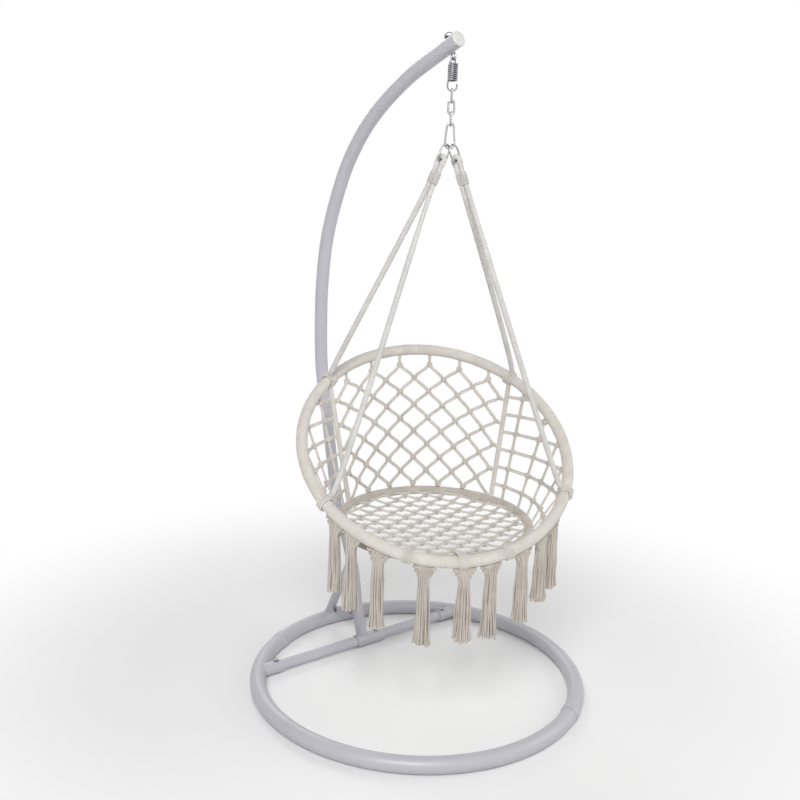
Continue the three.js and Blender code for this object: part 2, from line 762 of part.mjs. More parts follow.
// Hoop: a place on its straight chords, at an angle from its front
const hoopStep = fullTurn / hoopSteps;
const outerFrontY = -seatRadius - (seatWrap + outerWrap) / 2 - hoopClearance;
const hoops = {
  seat: { radius: seatRadius, tilt: seatTilt, wrap: seatWrap / 2, centre: vector(0, 0, seatHeight) },
  outer: { radius: outerRadius, tilt: outerIncline, wrap: outerWrap / 2 },
};
hoops.seat.windings = [{ angle: 0, length: lashingLength, wall: lashingSlack + lashingWall }];
hoops.outer.windings = [-rearRopeAngle, -frontRopeAngle, frontRopeAngle, rearRopeAngle].map(
  (angle) => ({ angle, length: knotLength, wall: seatGap + knotWall }),
);
const outerBack = outerRadius * Math.cos(degrees(outerIncline));
const outerFrontHeight = seatHeight - seatRadius * Math.sin(degrees(seatTilt)) + hoopRise;
const outerCentreHeight = outerFrontHeight + outerRadius * Math.sin(degrees(outerIncline));
hoops.outer.centre = vector(0, outerFrontY + outerBack, outerCentreHeight);

function flatHoopPlace(hoop, angle) {
  const before = Math.floor(angle / hoopStep + 0.5) - 0.5;
  const share = angle / hoopStep - before;
  const corner = (step) => vector(0, -hoop.radius, 0).applyAxisAngle(zAxis, degrees(step * hoopStep));
  return corner(before).lerp(corner(before + 1), share);
}

function onHoop(hoop, angle) {
  return flatHoopPlace(hoop, angle).applyAxisAngle(xAxis, degrees(hoop.tilt)).add(hoop.centre);
}

function hoopTangent(hoop, angle) {
  const step = Math.floor(angle / hoopStep + 0.5) * hoopStep;
  return xAxis.clone().applyAxisAngle(zAxis, degrees(step)).applyAxisAngle(xAxis, degrees(hoop.tilt));
}

function hoopAngleOf(hoop, point) {
  const place = point.clone().sub(hoop.centre).applyAxisAngle(xAxis, -degrees(hoop.tilt));
  return THREE.MathUtils.radToDeg(Math.atan2(place.x, -place.y));
}

// Distance from the hoop's centreline, less the radius of what is wound round it there
function hoopReach(hoop) {
  return (point) => {
    const angle = hoopAngleOf(hoop, point);
    const centre = onHoop(hoop, angle);
    const tangent = hoopTangent(hoop, angle);
    const offset = point.clone().sub(centre);
    offset.addScaledVector(tangent, -offset.dot(tangent));
    const near = ({ angle: at, length }) => (
      Math.abs(angle - at) < arcDegrees(length / 2 + 2 * netStrand, hoop.radius));
    const winding = hoop.windings.find(near);
    return offset.length() - hoop.wrap - (winding ? winding.wall : 0);
  };
}

// Anything wound round a hoop from one angle to another follows the hoop's chords
function alongHoop(hoop, from, to, shape) {
  const angles = [from];
  for (let step = Math.floor(from / hoopStep + 0.5) + 0.5; step * hoopStep < to; step += 1) {
    if (step * hoopStep > from) angles.push(step * hoopStep);
  }
  angles.push(to);
  return sweep(shape, angles.map((angle) => flatHoopPlace(hoop, angle)));
}

const hoopGroups = {};
for (const [name, hoop] of Object.entries(hoops)) {
  const group = new THREE.Group();
  group.position.copy(hoop.centre);
  group.rotation.x = degrees(hoop.tilt);
  chair.add(group);
  hoopGroups[name] = group;
  const corners = Array.from({ length: hoopSteps }, (_, k) => flatHoopPlace(hoop, (k + 0.5) * hoopStep));
  const core = closedTube(corners, coreDiameter / 2, wireSides, zAxis);
  piece(`${name}_hoop_core`, core, surfaces.steel, group);
  const margin = arcDegrees(wrapEndGap / 2, hoop.radius);
  const wrapShape = tubeSection(hoop.wrap, bandSides, coreDiameter / 2 + coreClearance, wireSides);
  const wrap = alongHoop(hoop, -halfTurn + margin, halfTurn - margin, wrapShape);
  piece(`${name}_hoop_wrap`, wrap, surfaces.beigeCotton, group);
}

// A band that ends just past a corner of the hoop is lengthened, so that the mitre there clears its end
function bandEnd(angle, outward, radius) {
  const corner = (Math.floor(angle / hoopStep) + 0.5) * hoopStep;
  const past = outward * (angle - corner);
  const mitre = radius * Math.tan(degrees(hoopStep / 2));
  const least = arcDegrees(2 * mitre, outerRadius);
  return past > 0 && past < least ? corner + outward * least : angle;
}

// Knots and lashings wound round the outer hoop
function hoopBand(name, angle, length, wall) {
  const half = arcDegrees(length / 2, outerRadius);
  const inner = hoops.outer.wrap + seatGap;
  const ends = [-1, 1].map((side) => bandEnd(angle + side * half, side, inner + wall));
  const shape = tubeSection(inner + wall, bandSides, inner);
  piece(name, alongHoop(hoops.outer, ...ends, shape), surfaces.cotton, hoopGroups.outer);
}

for (const [name, side] of Object.entries(sides)) {
  hoopBand(`rope_knot_rear_${name}`, side * rearRopeAngle, knotLength, knotWall);
  hoopBand(`rope_knot_front_${name}`, side * frontRopeAngle, knotLength, knotWall);
}
for (const [name, angle] of Object.entries(lashingAngles)) {
  hoopBand(name, angle, lashingLength, lashingWall);
}

// Sleeve of an oval section, open inside
function ovalSleeve(places, slack, wall, length) {
  const outline = (extra) => ovalPoints(places.map(([y, z, radius]) => [y, z, radius + extra]), ovalEndSteps);
  const shape = new THREE.Shape(outline(slack + wall));
  shape.holes.push(new THREE.Path(outline(slack)));
  return flatExtrude(shape, length);
}

// Front lashing: a sleeve round both hoops
const frontPlaces = Object.values(hoops).reverse().map((hoop) => {
  const place = onHoop(hoop, 0);
  return [place.y, place.z, hoop.wrap];
});
const frontLashing = ovalSleeve(frontPlaces, lashingSlack, lashingWall, lashingLength);
frontLashing.applyMatrix4(new THREE.Matrix4().makeBasis(yAxis, zAxis, xAxis));
frontLashing.translate(-lashingLength / 2, 0, 0);
piece('front_lashing', frontLashing, surfaces.cotton, chair);

// Suspension ropes: one rope a side, folded over the bar of its ring and tied twice to the hoop
const ropeRadius = ropeDiameter / 2;
const foldRadius = (ropeRingWire / 2 + ropeRadius + seatGap) * ropeBend;
const knotOutside = hoops.outer.wrap + seatGap + knotWall;

function ropeStart(angle, aim, standoff) {
  const foot = onHoop(hoops.outer, angle);
  const tangent = hoopTangent(hoops.outer, angle);
  const away = aim.clone().sub(foot);
  away.addScaledVector(tangent, -away.dot(tangent)).normalize();
  const first = foot.clone().addScaledVector(away, standoff + seatGap);
  return [first, first.clone().addScaledVector(away, strandLead)];
}

function suspensionRope(name, side) {
  const place = new THREE.Matrix4().makeRotationZ(degrees(hangerTurn - chairTurn));
  place.multiply(ropeRingPlace(side));
  const bar = vector(0, 0, -ropeRingDrop).applyMatrix4(place);
  const barDirection = xAxis.clone().transformDirection(place);
  const rearKnot = onHoop(hoops.outer, side * rearRopeAngle);
  const frontKnot = onHoop(hoops.outer, side * frontRopeAngle);
  const down = rearKnot.clone().add(frontKnot).divideScalar(2).sub(bar).normalize();
  const across = barDirection.clone().cross(down).normalize();
  if (across.y < 0) across.negate();
  const beside = ropeRadius + strandGap / 2;
  const strandPlace = (along, apart) => (
    bar.clone().addScaledVector(down, along).addScaledVector(across, apart));
  const whippingEnd = whippingFrom + whippingLength;
  const places = [
    ...ropeStart(side * rearRopeAngle, strandPlace(whippingEnd, beside), knotOutside),
    strandPlace(whippingEnd + strandLead / 2, beside),
    strandPlace(whippingFrom - strandLead / 2, beside),
  ];
  for (let angle = 0; angle <= 180; angle += 22.5) {
    const fold = onCircle(foldRadius, angle, 0, 0);
    places.push(strandPlace(-fold.z, fold.x));
  }
  places.push(
    strandPlace(whippingFrom - strandLead / 2, -beside),
    strandPlace(whippingEnd + strandLead / 2, -beside),
    ...ropeStart(side * frontRopeAngle, strandPlace(whippingEnd, -beside), knotOutside).reverse(),
  );
  piece(`rope_${name}`, tube(places, ropeRadius, ropeSides), surfaces.cotton, chair);
  let length = 0;
  for (let i = 1; i < places.length; i += 1) length += places[i].distanceTo(places[i - 1]);
  console.log(`rope_${name}: length ${length.toFixed(0)} mm`);
  const strandPlaces = [[-beside, 0, ropeRadius], [beside, 0, ropeRadius]];
  const sleeve = ovalSleeve(strandPlaces, seatGap, whippingWall, whippingLength);
  sleeve.applyMatrix4(new THREE.Matrix4().makeBasis(across, down.clone().cross(across), down));
  const start = strandPlace(whippingFrom, 0);
  piece(`whipping_${name}`, sleeve.translate(start.x, start.y, start.z), surfaces.cotton, chair);
}

for (const [name, side] of Object.entries(sides)) suspensionRope(name, side);

// Border strands between the two hoops, at the edges of the back net
function borderEnds(side) {
  const low = onHoop(hoops.seat, side * borderSeatAngle);
  const high = onHoop(hoops.outer, side * rearRopeAngle);
  return [low, high];
}

for (const [name, side] of Object.entries(sides)) {
  const [low, high] = borderEnds(side);
  const direction = high.clone().sub(low).normalize();
  const standoff = (hoop, angle, radius) => {
    const cosine = Math.abs(direction.dot(hoopTangent(hoop, angle)));
    return (radius + seatGap + (borderDiameter / 2) * cosine) / Math.sqrt(1 - cosine ** 2);
  };
  const fromSeat = standoff(hoops.seat, side * borderSeatAngle, hoops.seat.wrap);
  const fromKnot = standoff(hoops.outer, side * rearRopeAngle, knotOutside);
  const from = low.clone().addScaledVector(direction, fromSeat);
  const to = high.clone().addScaledVector(direction, -fromKnot);
  piece(`border_strand_${name}`, tube([from, to], borderDiameter / 2, ropeSides), surfaces.cotton, chair);
}

// Knotted net: flat strands with mitred corners round each knot, as one closed body
class Net {
  constructor() {
    this.knots = [];
    this.strands = [];
  }

  knot(point, normal, reach = null) {
    this.knots.push({ point, normal: normal.clone().normalize(), reach, strands: [] });
    return this.knots.length - 1;
  }

  strand(from, to) {
    this.strands.push([from, to]);
    this.knots[from].strands.push(to);
    this.knots[to].strands.push(from);
  }

  heading(knot, other) {
    const { point, normal } = this.knots[knot];
    const away = this.knots[other].point.clone().sub(point);
    return away.addScaledVector(normal, -away.dot(normal)).normalize();
  }

  // Corner points round a knot, one between each two neighbouring strands
  corners(index) {
    const knot = this.knots[index];
    const first = this.heading(index, knot.strands[0]);
    const second = knot.normal.clone().cross(first);
    const spread = knot.strands.map((other) => {
      const away = this.heading(index, other);
      return { other, angle: Math.atan2(away.dot(second), away.dot(first)) };
    });
    spread.sort((a, b) => a.angle - b.angle);
    knot.strands = spread.map(({ other }) => other);
    return spread.map(({ angle }, i) => {
      const wrapped = i === spread.length - 1 ? spread[0].angle + 2 * Math.PI : spread[i + 1].angle;
      const half = (wrapped - angle) / 2;
      const size = netStrand / 2 / Math.sin(half);
      return knot.point.clone().addScaledVector(first, size * Math.cos(angle + half))
        .addScaledVector(second, size * Math.sin(angle + half));
    });
  }

  // End of a loose strand: each corner line stops at the gap before what it is tied to
  endCorner(index, sideways, lift) {
    const knot = this.knots[index];
    const inner = this.knots[knot.strands[0]].point;
    const away = this.heading(index, knot.strands[0]);
    const offset = knot.normal.clone().cross(away).multiplyScalar(sideways);
    offset.addScaledVector(knot.normal, lift);
    const outer = knot.point.clone().add(offset);
    const start = inner.clone().add(offset);
    let near = 0;
    let far = 1;
    for (let k = 0; k < reachHalvings; k += 1) {
      const middle = (near + far) / 2;
      if (knot.reach(start.clone().lerp(outer, middle)) > seatGap) near = middle;
      else far = middle;
    }
    return start.lerp(outer, near);
  }

  geometry() {
    const positions = [];
    const indices = [];
    const add = (point) => positions.push(point.x, point.y, point.z) / 3 - 1;
    const quad = (a, b, c, d) => indices.push(a, b, c, a, c, d);
    const rims = this.knots.map((knot, index) => {
      const half = netThickness / 2;
      if (knot.strands.length > 1) {
        return this.corners(index).map((corner) => [
          add(corner.clone().addScaledVector(knot.normal, half)),
          add(corner.clone().addScaledVector(knot.normal, -half))]);
      }
      return [1, -1].map((side) => [1, -1].map(
        (lift) => add(this.endCorner(index, (side * netStrand) / 2, lift * half))));
    });
    const beside = (from, to) => {
      const knot = this.knots[from];
      const i = knot.strands.indexOf(to);
      if (knot.strands.length === 1) return { left: rims[from][0], right: rims[from][1] };
      const count = knot.strands.length;
      return { left: rims[from][i], right: rims[from][(i + count - 1) % count] };
    };
    for (const [from, to] of this.strands) {
      const a = beside(from, to);
      const b = beside(to, from);
      quad(a.right[0], b.left[0], b.right[0], a.left[0]);
      quad(a.left[1], b.right[1], b.left[1], a.right[1]);
      quad(a.left[0], b.right[0], b.right[1], a.left[1]);
      quad(a.right[0], a.right[1], b.left[1], b.left[0]);
    }
    this.knots.forEach((knot, index) => {
      const rim = rims[index];
      if (knot.strands.length === 1) quad(rim[1][0], rim[0][0], rim[0][1], rim[1][1]);
      for (let i = 2; i < rim.length && knot.strands.length > 2; i += 1) {
        indices.push(rim[0][0], rim[i - 1][0], rim[i][0], rim[0][1], rim[i][1], rim[i - 1][1]);
      }
    });
    const geometry = new THREE.BufferGeometry();
    geometry.setAttribute('position', new THREE.Float32BufferAttribute(positions, 3));
    geometry.setIndex(indices);
    geometry.computeVertexNormals();
    return geometry;
  }
}

// Surface ruled between a seat hoop arc and an outer hoop arc
function ruled(seatAngles, outerAngles) {
  const seatAt = (u) => onHoop(hoops.seat, THREE.MathUtils.lerp(...seatAngles, u));
  const outerAt = (u) => onHoop(hoops.outer, THREE.MathUtils.lerp(...outerAngles, u));
  const at = (u, v) => seatAt(u).lerp(outerAt(u), v);
  const stepShare = 0.02;
  const normal = (u, v) => {
    const acrossNet = at(u + stepShare, v).sub(at(u - stepShare, v));
    const upNet = outerAt(u).sub(seatAt(u));
    return acrossNet.cross(upNet).normalize();
  };
  return { at, normal, seatAt, outerAt };
}

// Distance from a border strand's surface
function borderReach(side) {
  const border = new THREE.Line3(...borderEnds(side));
  return (point) => {
    const nearest = border.closestPointToPoint(point, true, vector(0, 0, 0));
    return nearest.distanceTo(point) - borderDiameter / 2;
  };
}

function cornerReach(side) {
  const reaches = [borderReach(side), hoopReach(hoops.seat)];
  return (point) => Math.min(...reaches.map((reach) => reach(point)));
}

// Back net: diamonds, with short upright strands to the hoop along the top
function backNet() {
  const net = new Net();
  const seatAngles = [fullTurn - borderSeatAngle, borderSeatAngle];
  const face = ruled(seatAngles, [fullTurn - rearRopeAngle, rearRopeAngle]);
  const height = face.outerAt(0.5).distanceTo(face.seatAt(0.5));
  const low = (hoops.seat.wrap + seatGap + netStrand) / height;
  const high = 1 - (hoops.outer.wrap + 3 * netStrand) / height;
  const width = face.at(0, 0.5).distanceTo(face.at(1, 0.5));
  const inset = (borderDiameter / 2 + seatGap + netStrand + netThickness / 2) / width;
  const rows = [];
  for (let row = 0; row < backHalfRows; row += 1) {
    const odd = row % 2 === 1;
    const v = THREE.MathUtils.lerp(low, high, row / (backHalfRows - 1));
    const places = odd
      ? Array.from({ length: backColumns }, (_, i) => (i + 0.5) / backColumns)
      : Array.from({ length: backColumns + 1 }, (_, i) => i / backColumns);
    rows.push(places.map((share) => {
      if (row === 0 && (share === 0 || share === 1)) {
        return net.knot(face.at(share, 0), face.normal(share, 0), cornerReach(share === 0 ? 1 : -1));
      }
      const u = THREE.MathUtils.lerp(inset, 1 - inset, share);
      return net.knot(face.at(u, v), face.normal(u, v));
    }));
    if (row > 0) {
      const wide = odd ? rows[row - 1] : rows[row];
      const narrow = odd ? rows[row] : rows[row - 1];
      narrow.forEach((knot, i) => {
        net.strand(knot, wide[i]);
        net.strand(knot, wide[i + 1]);
      });
    }
  }
  rows[backHalfRows - 1].forEach((knot, i) => {
    const u = THREE.MathUtils.lerp(inset, 1 - inset, (i + 0.5) / backColumns);
    net.strand(knot, net.knot(face.outerAt(u), face.normal(u, 1), hoopReach(hoops.outer)));
  });
  return net.geometry();
}

// Side net: level rows from the border strand to the hoop, and a column between each two row ends
function sideNet(side) {
  const net = new Net();
  const seatAngles = [side * netFrontSeatAngle, side * borderSeatAngle];
  const outerAngles = [side * netFrontOuterAngle, side * rearRopeAngle];
  const face = ruled(seatAngles, outerAngles);
  const hoop = hoops.outer;
  const rise = outerRadius * Math.sin(degrees(outerIncline));
  const shareOfAngle = (angle) => (angle - netFrontOuterAngle) / (rearRopeAngle - netFrontOuterAngle);
  const heights = [];
  const rowShares = [];
  for (let height = seatHeight + rowRise; height < hoop.centre.z + rise; height += rowRise) {
    const angle = THREE.MathUtils.radToDeg(Math.acos((hoop.centre.z - height) / rise));
    if (angle > rearRopeAngle - arcDegrees(rowRise / 3, outerRadius)) break;
    heights.push(height);
    rowShares.push(shareOfAngle(angle));
  }
  const columnShares = rowShares.map((share, i) => (share + (rowShares[i + 1] ?? 1)) / 2);
  const heightShare = (u, height) => {
    const low = face.seatAt(u).z;
    return (height - low) / (face.outerAt(u).z - low);
  };
  const seatReach = hoopReach(hoops.seat);
  const columns = columnShares.map((u) => [net.knot(face.seatAt(u), face.normal(u, 0), seatReach)]);
  heights.forEach((height, row) => {
    const place = (u) => face.at(u, heightShare(u, height));
    const shown = (u) => face.normal(u, heightShare(u, height));
    let last = net.knot(place(rowShares[row]), shown(rowShares[row]), hoopReach(hoop));
    columnShares.slice(row).forEach((u, i) => {
      const knot = net.knot(place(u), shown(u));
      net.strand(last, knot);
      columns[row + i].push(knot);
      last = knot;
    });
    net.strand(last, net.knot(place(1), shown(1), borderReach(side)));
  });
  columns.forEach((column, i) => {
    const u = columnShares[i];
    column.push(net.knot(face.outerAt(u), face.normal(u, 1), hoopReach(hoop)));
    for (let k = 1; k < column.length; k += 1) net.strand(column[k - 1], column[k]);
  });
  return net.geometry();
}

// Seat net: a lattice of diamonds inside the seat hoop, sagging a little in the middle
function seatNet() {
  const net = new Net();
  const hoop = hoops.seat;
  const limit = seatRadius - hoop.wrap - netStrand;
  const toChair = (place) => place.applyAxisAngle(xAxis, degrees(hoop.tilt)).add(hoop.centre);
  const normal = zAxis.clone().applyAxisAngle(xAxis, degrees(hoop.tilt));
  const place = (i, j) => {
    const x = (i * seatPitch) / 2;
    const y = (j * seatPitch) / 2;
    const share = Math.hypot(x, y) / seatRadius;
    return { x, y, share, point: toChair(vector(x, y, -seatSag * Math.max(1 - share ** 2, 0))) };
  };
  const count = Math.ceil((2 * seatRadius) / seatPitch) + 1;
  const kept = new Map();
  const inside = ({ share }) => share * seatRadius < limit - netStrand;
  for (let i = -count; i <= count; i += 1) {
    for (let j = -count; j <= count; j += 1) {
      const spot = place(i, j);
      if ((i + j) % 2 === 0 && inside(spot)) kept.set(`${i} ${j}`, net.knot(spot.point, normal));
    }
  }
  for (const [key, knot] of kept) {
    const [i, j] = key.split(' ').map(Number);
    for (const [di, dj] of [[1, 1], [1, -1], [-1, 1], [-1, -1]]) {
      const other = kept.get(`${i + di} ${j + dj}`);
      const next = place(i + di, j + dj);
      if (other !== undefined && other > knot) net.strand(knot, other);
      if (other === undefined) {
        const from = place(i, j);
        const outward = vector(next.x - from.x, next.y - from.y, 0).normalize();
        const middle = from.x * outward.x + from.y * outward.y;
        const reach = -middle + Math.sqrt(middle ** 2 + seatRadius ** 2 - from.x ** 2 - from.y ** 2);
        const end = vector(from.x + reach * outward.x, from.y + reach * outward.y, 0);
        net.strand(knot, net.knot(toChair(end), normal, hoopReach(hoop)));
      }
    }
  }
  return net.geometry();
}

piece('back_net', backNet(), surfaces.cotton, chair);
piece('left_net', sideNet(-1), surfaces.cotton, chair);
piece('right_net', sideNet(1), surfaces.cotton, chair);
piece('seat_net', seatNet(), surfaces.cotton, chair);

// Tassels: a short knotted gather under the hoop, then a long bundle that flares to a cut end
const tasselShares = {
  drop: [0, 0.05, 0.1, 0.16, 0.6, 0.85, 1],
  top: [1, 0.85, 0.4, 0, 0, 0, 0],
  end: [0, 0, 0, 0, 0.35, 0.6, 1],
};

function shareAt(drops, values, drop) {
  const i = Math.max(drops.findIndex((place) => place >= drop - Number.EPSILON), 0);
  return values[i];
}

function tasselGeometry({ angle, length, width }) {
  const { drop, top, end } = tasselShares;
  const profile = [[0, 0], ...drop.map((share) => [1, share]), [0, 1]];
  const geometry = latheProfile(profile.reverse(), tasselSides);
  const hoop = hoops.outer;
  const reachAngle = Math.abs(angle) + arcDegrees(tasselTopWidth / 2, outerRadius);
  const tangent = hoopTangent(hoop, reachAngle);
  const lashingReach = arcDegrees((tasselTopWidth + lashingLength) / 2, outerRadius);
  const underLashing = Math.abs(angle) < lashingReach ? lashingSlack + lashingWall : 0;
  const topDrop = (hoop.wrap + underLashing + seatGap) / Math.sqrt(1 - tangent.z ** 2);
  const places = geometry.attributes.position;
  for (let i = 0; i < places.count; i += 1) {
    const share = places.getY(i);
    const wide = shareAt(drop, top, share) * (tasselTopWidth - tasselNeck)
      + shareAt(drop, end, share) * (width - tasselNeck) + tasselNeck;
    const deep = shareAt(drop, top, share) * (tasselTopDepth - tasselNeck)
      + shareAt(drop, end, share) * (width - tasselNeck) + tasselNeck;
    const along = (places.getX(i) * wide) / 2;
    const depth = (places.getZ(i) * deep) / 2;
    const here = angle + arcDegrees(along, outerRadius);
    const outward = vector(Math.sin(degrees(here)), -Math.cos(degrees(here)), 0);
    const point = onHoop(hoop, here).addScaledVector(outward, depth);
    point.addScaledVector(zAxis, -topDrop - share * length);
    places.setXYZ(i, point.x, point.y, point.z);
  }
  return geometry;
}

tasselSizes.forEach((size, i) => {
  piece(`tassel_${i + 1}`, tasselGeometry(size), surfaces.beigeCotton, chair);
});

// The frame's origin is on the floor, under the middle of the whole object
model.updateMatrixWorld(true);
const bounds = new THREE.Box3().setFromObject(model, true);
const middle = bounds.getCenter(vector(0, 0, 0));
model.position.set(-middle.x, -middle.y, -bounds.min.z);

export default model;
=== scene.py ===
import math
import random

import bmesh
import bpy
from mathutils import Matrix, Vector


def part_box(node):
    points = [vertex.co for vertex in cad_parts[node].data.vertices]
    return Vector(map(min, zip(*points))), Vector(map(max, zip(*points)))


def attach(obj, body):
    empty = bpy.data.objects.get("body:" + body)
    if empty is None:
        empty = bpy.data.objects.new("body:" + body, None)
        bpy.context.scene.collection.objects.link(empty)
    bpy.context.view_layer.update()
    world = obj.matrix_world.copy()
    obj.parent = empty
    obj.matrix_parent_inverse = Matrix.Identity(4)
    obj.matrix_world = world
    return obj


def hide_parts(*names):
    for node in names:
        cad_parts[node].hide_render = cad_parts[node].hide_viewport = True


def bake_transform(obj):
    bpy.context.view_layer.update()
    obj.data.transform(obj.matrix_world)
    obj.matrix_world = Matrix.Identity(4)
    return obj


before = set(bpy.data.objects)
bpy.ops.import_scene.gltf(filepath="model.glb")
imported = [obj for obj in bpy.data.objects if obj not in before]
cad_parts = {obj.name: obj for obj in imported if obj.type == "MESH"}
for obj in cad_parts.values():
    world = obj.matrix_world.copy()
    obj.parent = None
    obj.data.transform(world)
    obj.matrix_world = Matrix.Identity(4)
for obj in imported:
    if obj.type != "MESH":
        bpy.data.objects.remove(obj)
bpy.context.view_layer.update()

random.seed(7)
print("hammock chair: frame loaded")

# Camera at the photograph's place, lamps and floor
studio = {
    "eye": (-1.8435, -2.27605, 1.5813), "forward": (0.59856, 0.76894, -0.22462),
    "right": (0.79321, -0.60810, 0.03200), "lens": 45.0, "sensor": 36.0,
    "worldLight": 0.31, "white": (1.0, 1.0, 1.0, 1.0), "lampAim": (0.0, 0.0, 0.9),
    "floorColour": (0.93, 0.93, 0.93, 1.0), "floorRough": 0.9, "floorReach": 30.0, "fade": (0.75, 1.9),
    "lamps": [
        {"name": "keyLamp", "at": (-3.2, -3.4, 4.2), "size": 2.2, "watts": 220.0},
        {"name": "fillLamp", "at": (3.6, -2.2, 2.6), "size": 3.2, "watts": 54.0},
        {"name": "backLamp", "at": (1.2, 3.8, 3.6), "size": 2.4, "watts": 50.0},
    ],
}


def aim(obj, target):
    direction = Vector(target) - obj.location
    obj.rotation_euler = direction.to_track_quat("-Z", "Y").to_euler()


def makeCamera():
    data = bpy.data.cameras.new("photoCamera")
    data.lens, data.sensor_width = studio["lens"], studio["sensor"]
    camera = bpy.data.objects.new("photoCamera", data)
    right, forward = Vector(studio["right"]), Vector(studio["forward"])
    up = right.cross(forward).normalized()
    turn = Matrix((right, up, -forward)).transposed()
    camera.matrix_world = Matrix.Translation(studio["eye"]) @ turn.to_4x4()
    bpy.context.collection.objects.link(camera)
    bpy.context.scene.camera = camera


def makeLamps():
    for lamp in studio["lamps"]:
        data = bpy.data.lights.new(lamp["name"], "AREA")
        data.energy, data.size = lamp["watts"], lamp["size"]
        obj = bpy.data.objects.new(lamp["name"], data)
        obj.location = lamp["at"]
        aim(obj, studio["lampAim"])
        bpy.context.collection.objects.link(obj)


# 1 for the camera's own rays, mirrors and glass, and 0 for the light that falls on things
def seenDirectly(nodes, links):
    rays = nodes.new("ShaderNodeLightPath")
    seen = rays.outputs["Is Camera Ray"]
    for label in ("Is Glossy Ray", "Is Transmission Ray"):
        both = nodes.new("ShaderNodeMath")
        both.operation = "MAXIMUM"
        links.new(seen, both.inputs[0])
        links.new(rays.outputs[label], both.inputs[1])
        seen = both.outputs["Value"]
    return seen


def makeWorld():
    world = bpy.data.worlds.new("paleRoom")
    bpy.context.scene.world = world
    world.use_nodes = True
    nodes, links = world.node_tree.nodes, world.node_tree.links
    nodes.clear()
    out, mix = nodes.new("ShaderNodeOutputWorld"), nodes.new("ShaderNodeMixShader")
    links.new(seenDirectly(nodes, links), mix.inputs["Fac"])
    for index, strength in ((1, studio["worldLight"]), (2, 1.0)):
        sky = nodes.new("ShaderNodeBackground")
        sky.inputs["Color"].default_value = studio["white"]
        sky.inputs["Strength"].default_value = strength
        links.new(sky.outputs["Background"], mix.inputs[index])
    links.new(mix.outputs["Shader"], out.inputs["Surface"])


# The floor fades to the white background away from the chair, for the camera, mirrors and glass alone
def makeFloor():
    bm = bmesh.new()
    bmesh.ops.create_grid(bm, x_segments=1, y_segments=1, size=studio["floorReach"])
    mesh = bpy.data.meshes.new("floor")
    bm.to_mesh(mesh)
    bm.free()
    floor = bpy.data.objects.new("floor", mesh)
    bpy.context.collection.objects.link(floor)
    material = bpy.data.materials.new("floorPaper")
    material.use_nodes = True
    nodes, links = material.node_tree.nodes, material.node_tree.links
    shader = nodes["Principled BSDF"]
    shader.inputs["Base Color"].default_value = studio["floorColour"]
    shader.inputs["Roughness"].default_value = studio["floorRough"]
    glow, mix = nodes.new("ShaderNodeEmission"), nodes.new("ShaderNodeMixShader")
    place, length = nodes.new("ShaderNodeTexCoord"), nodes.new("ShaderNodeVectorMath")
    fade, share = nodes.new("ShaderNodeMapRange"), nodes.new("ShaderNodeMath")
    length.operation, fade.interpolation_type, share.operation = "LENGTH", "SMOOTHSTEP", "MULTIPLY"
    fade.inputs["From Min"].default_value, fade.inputs["From Max"].default_value = studio["fade"]
    for source, target in (
            (place.outputs["Object"], length.inputs[0]), (length.outputs["Value"], fade.inputs["Value"]),
            (seenDirectly(nodes, links), share.inputs[0]), (fade.outputs["Result"], share.inputs[1]),
            (share.outputs["Value"], mix.inputs["Fac"]), (shader.outputs["BSDF"], mix.inputs[1]),
            (glow.outputs["Emission"], mix.inputs[2]),
            (mix.outputs["Shader"], nodes["Material Output"].inputs["Surface"])):
        links.new(source, target)
    mesh.materials.append(material)


bpy.context.scene.view_settings.view_transform = "Standard"
makeCamera()
makeLamps()
makeWorld()
makeFloor()
print("hammock chair: camera, lamps and floor")

# Finishes. A shader node group gives the colour, roughness and height of each kind of surface
colourSocket, numberSocket, vectorSocket = "NodeSocketColor", "NodeSocketFloat", "NodeSocketVector"


def newGroup(name, inputs):
    group = bpy.data.node_groups.new(name, "ShaderNodeTree")
    for label, kind, value in [("Place", vectorSocket, None), *inputs]:
        made = group.interface.new_socket(name=label, in_out="INPUT", socket_type=kind)
        if value is not None:
            made.default_value = value
    for label, kind in (("Colour", colourSocket), ("Roughness", numberSocket), ("Height", numberSocket)):
        group.interface.new_socket(name=label, in_out="OUTPUT", socket_type=kind)
    return group, group.nodes.new("NodeGroupInput").outputs, group.nodes.new("NodeGroupOutput").inputs


def closeGroup(group, out, colour, roughness, height):
    for label, source in (("Colour", colour), ("Roughness", roughness), ("Height", height)):
        group.links.new(source, out[label])
    return group


def noiseIn(group, source, scale, detail, roughness=0.55):
    node = group.nodes.new("ShaderNodeTexNoise")
    node.inputs["Detail"].default_value = detail
    node.inputs["Roughness"].default_value = roughness
    if isinstance(scale, float):
        node.inputs["Scale"].default_value = scale
    else:
        group.links.new(scale, node.inputs["Scale"])
    group.links.new(source, node.inputs["Vector"])
    return node.outputs["Fac"]


def spanIn(group, source, low, high, toLow=0.0, toHigh=1.0):
    node = group.nodes.new("ShaderNodeMapRange")
    for label, value in zip(("From Min", "From Max", "To Min", "To Max"), (low, high, toLow, toHigh)):
        node.inputs[label].default_value = value
    group.links.new(source, node.inputs["Value"])
    return node.outputs["Result"]


def mathIn(group, kind, first, second):
    node = group.nodes.new("ShaderNodeMath")
    node.operation = kind
    for index, value in enumerate((first, second)):
        if isinstance(value, (int, float)):
            node.inputs[index].default_value = value
        else:
            group.links.new(value, node.inputs[index])
    return node.outputs["Value"]


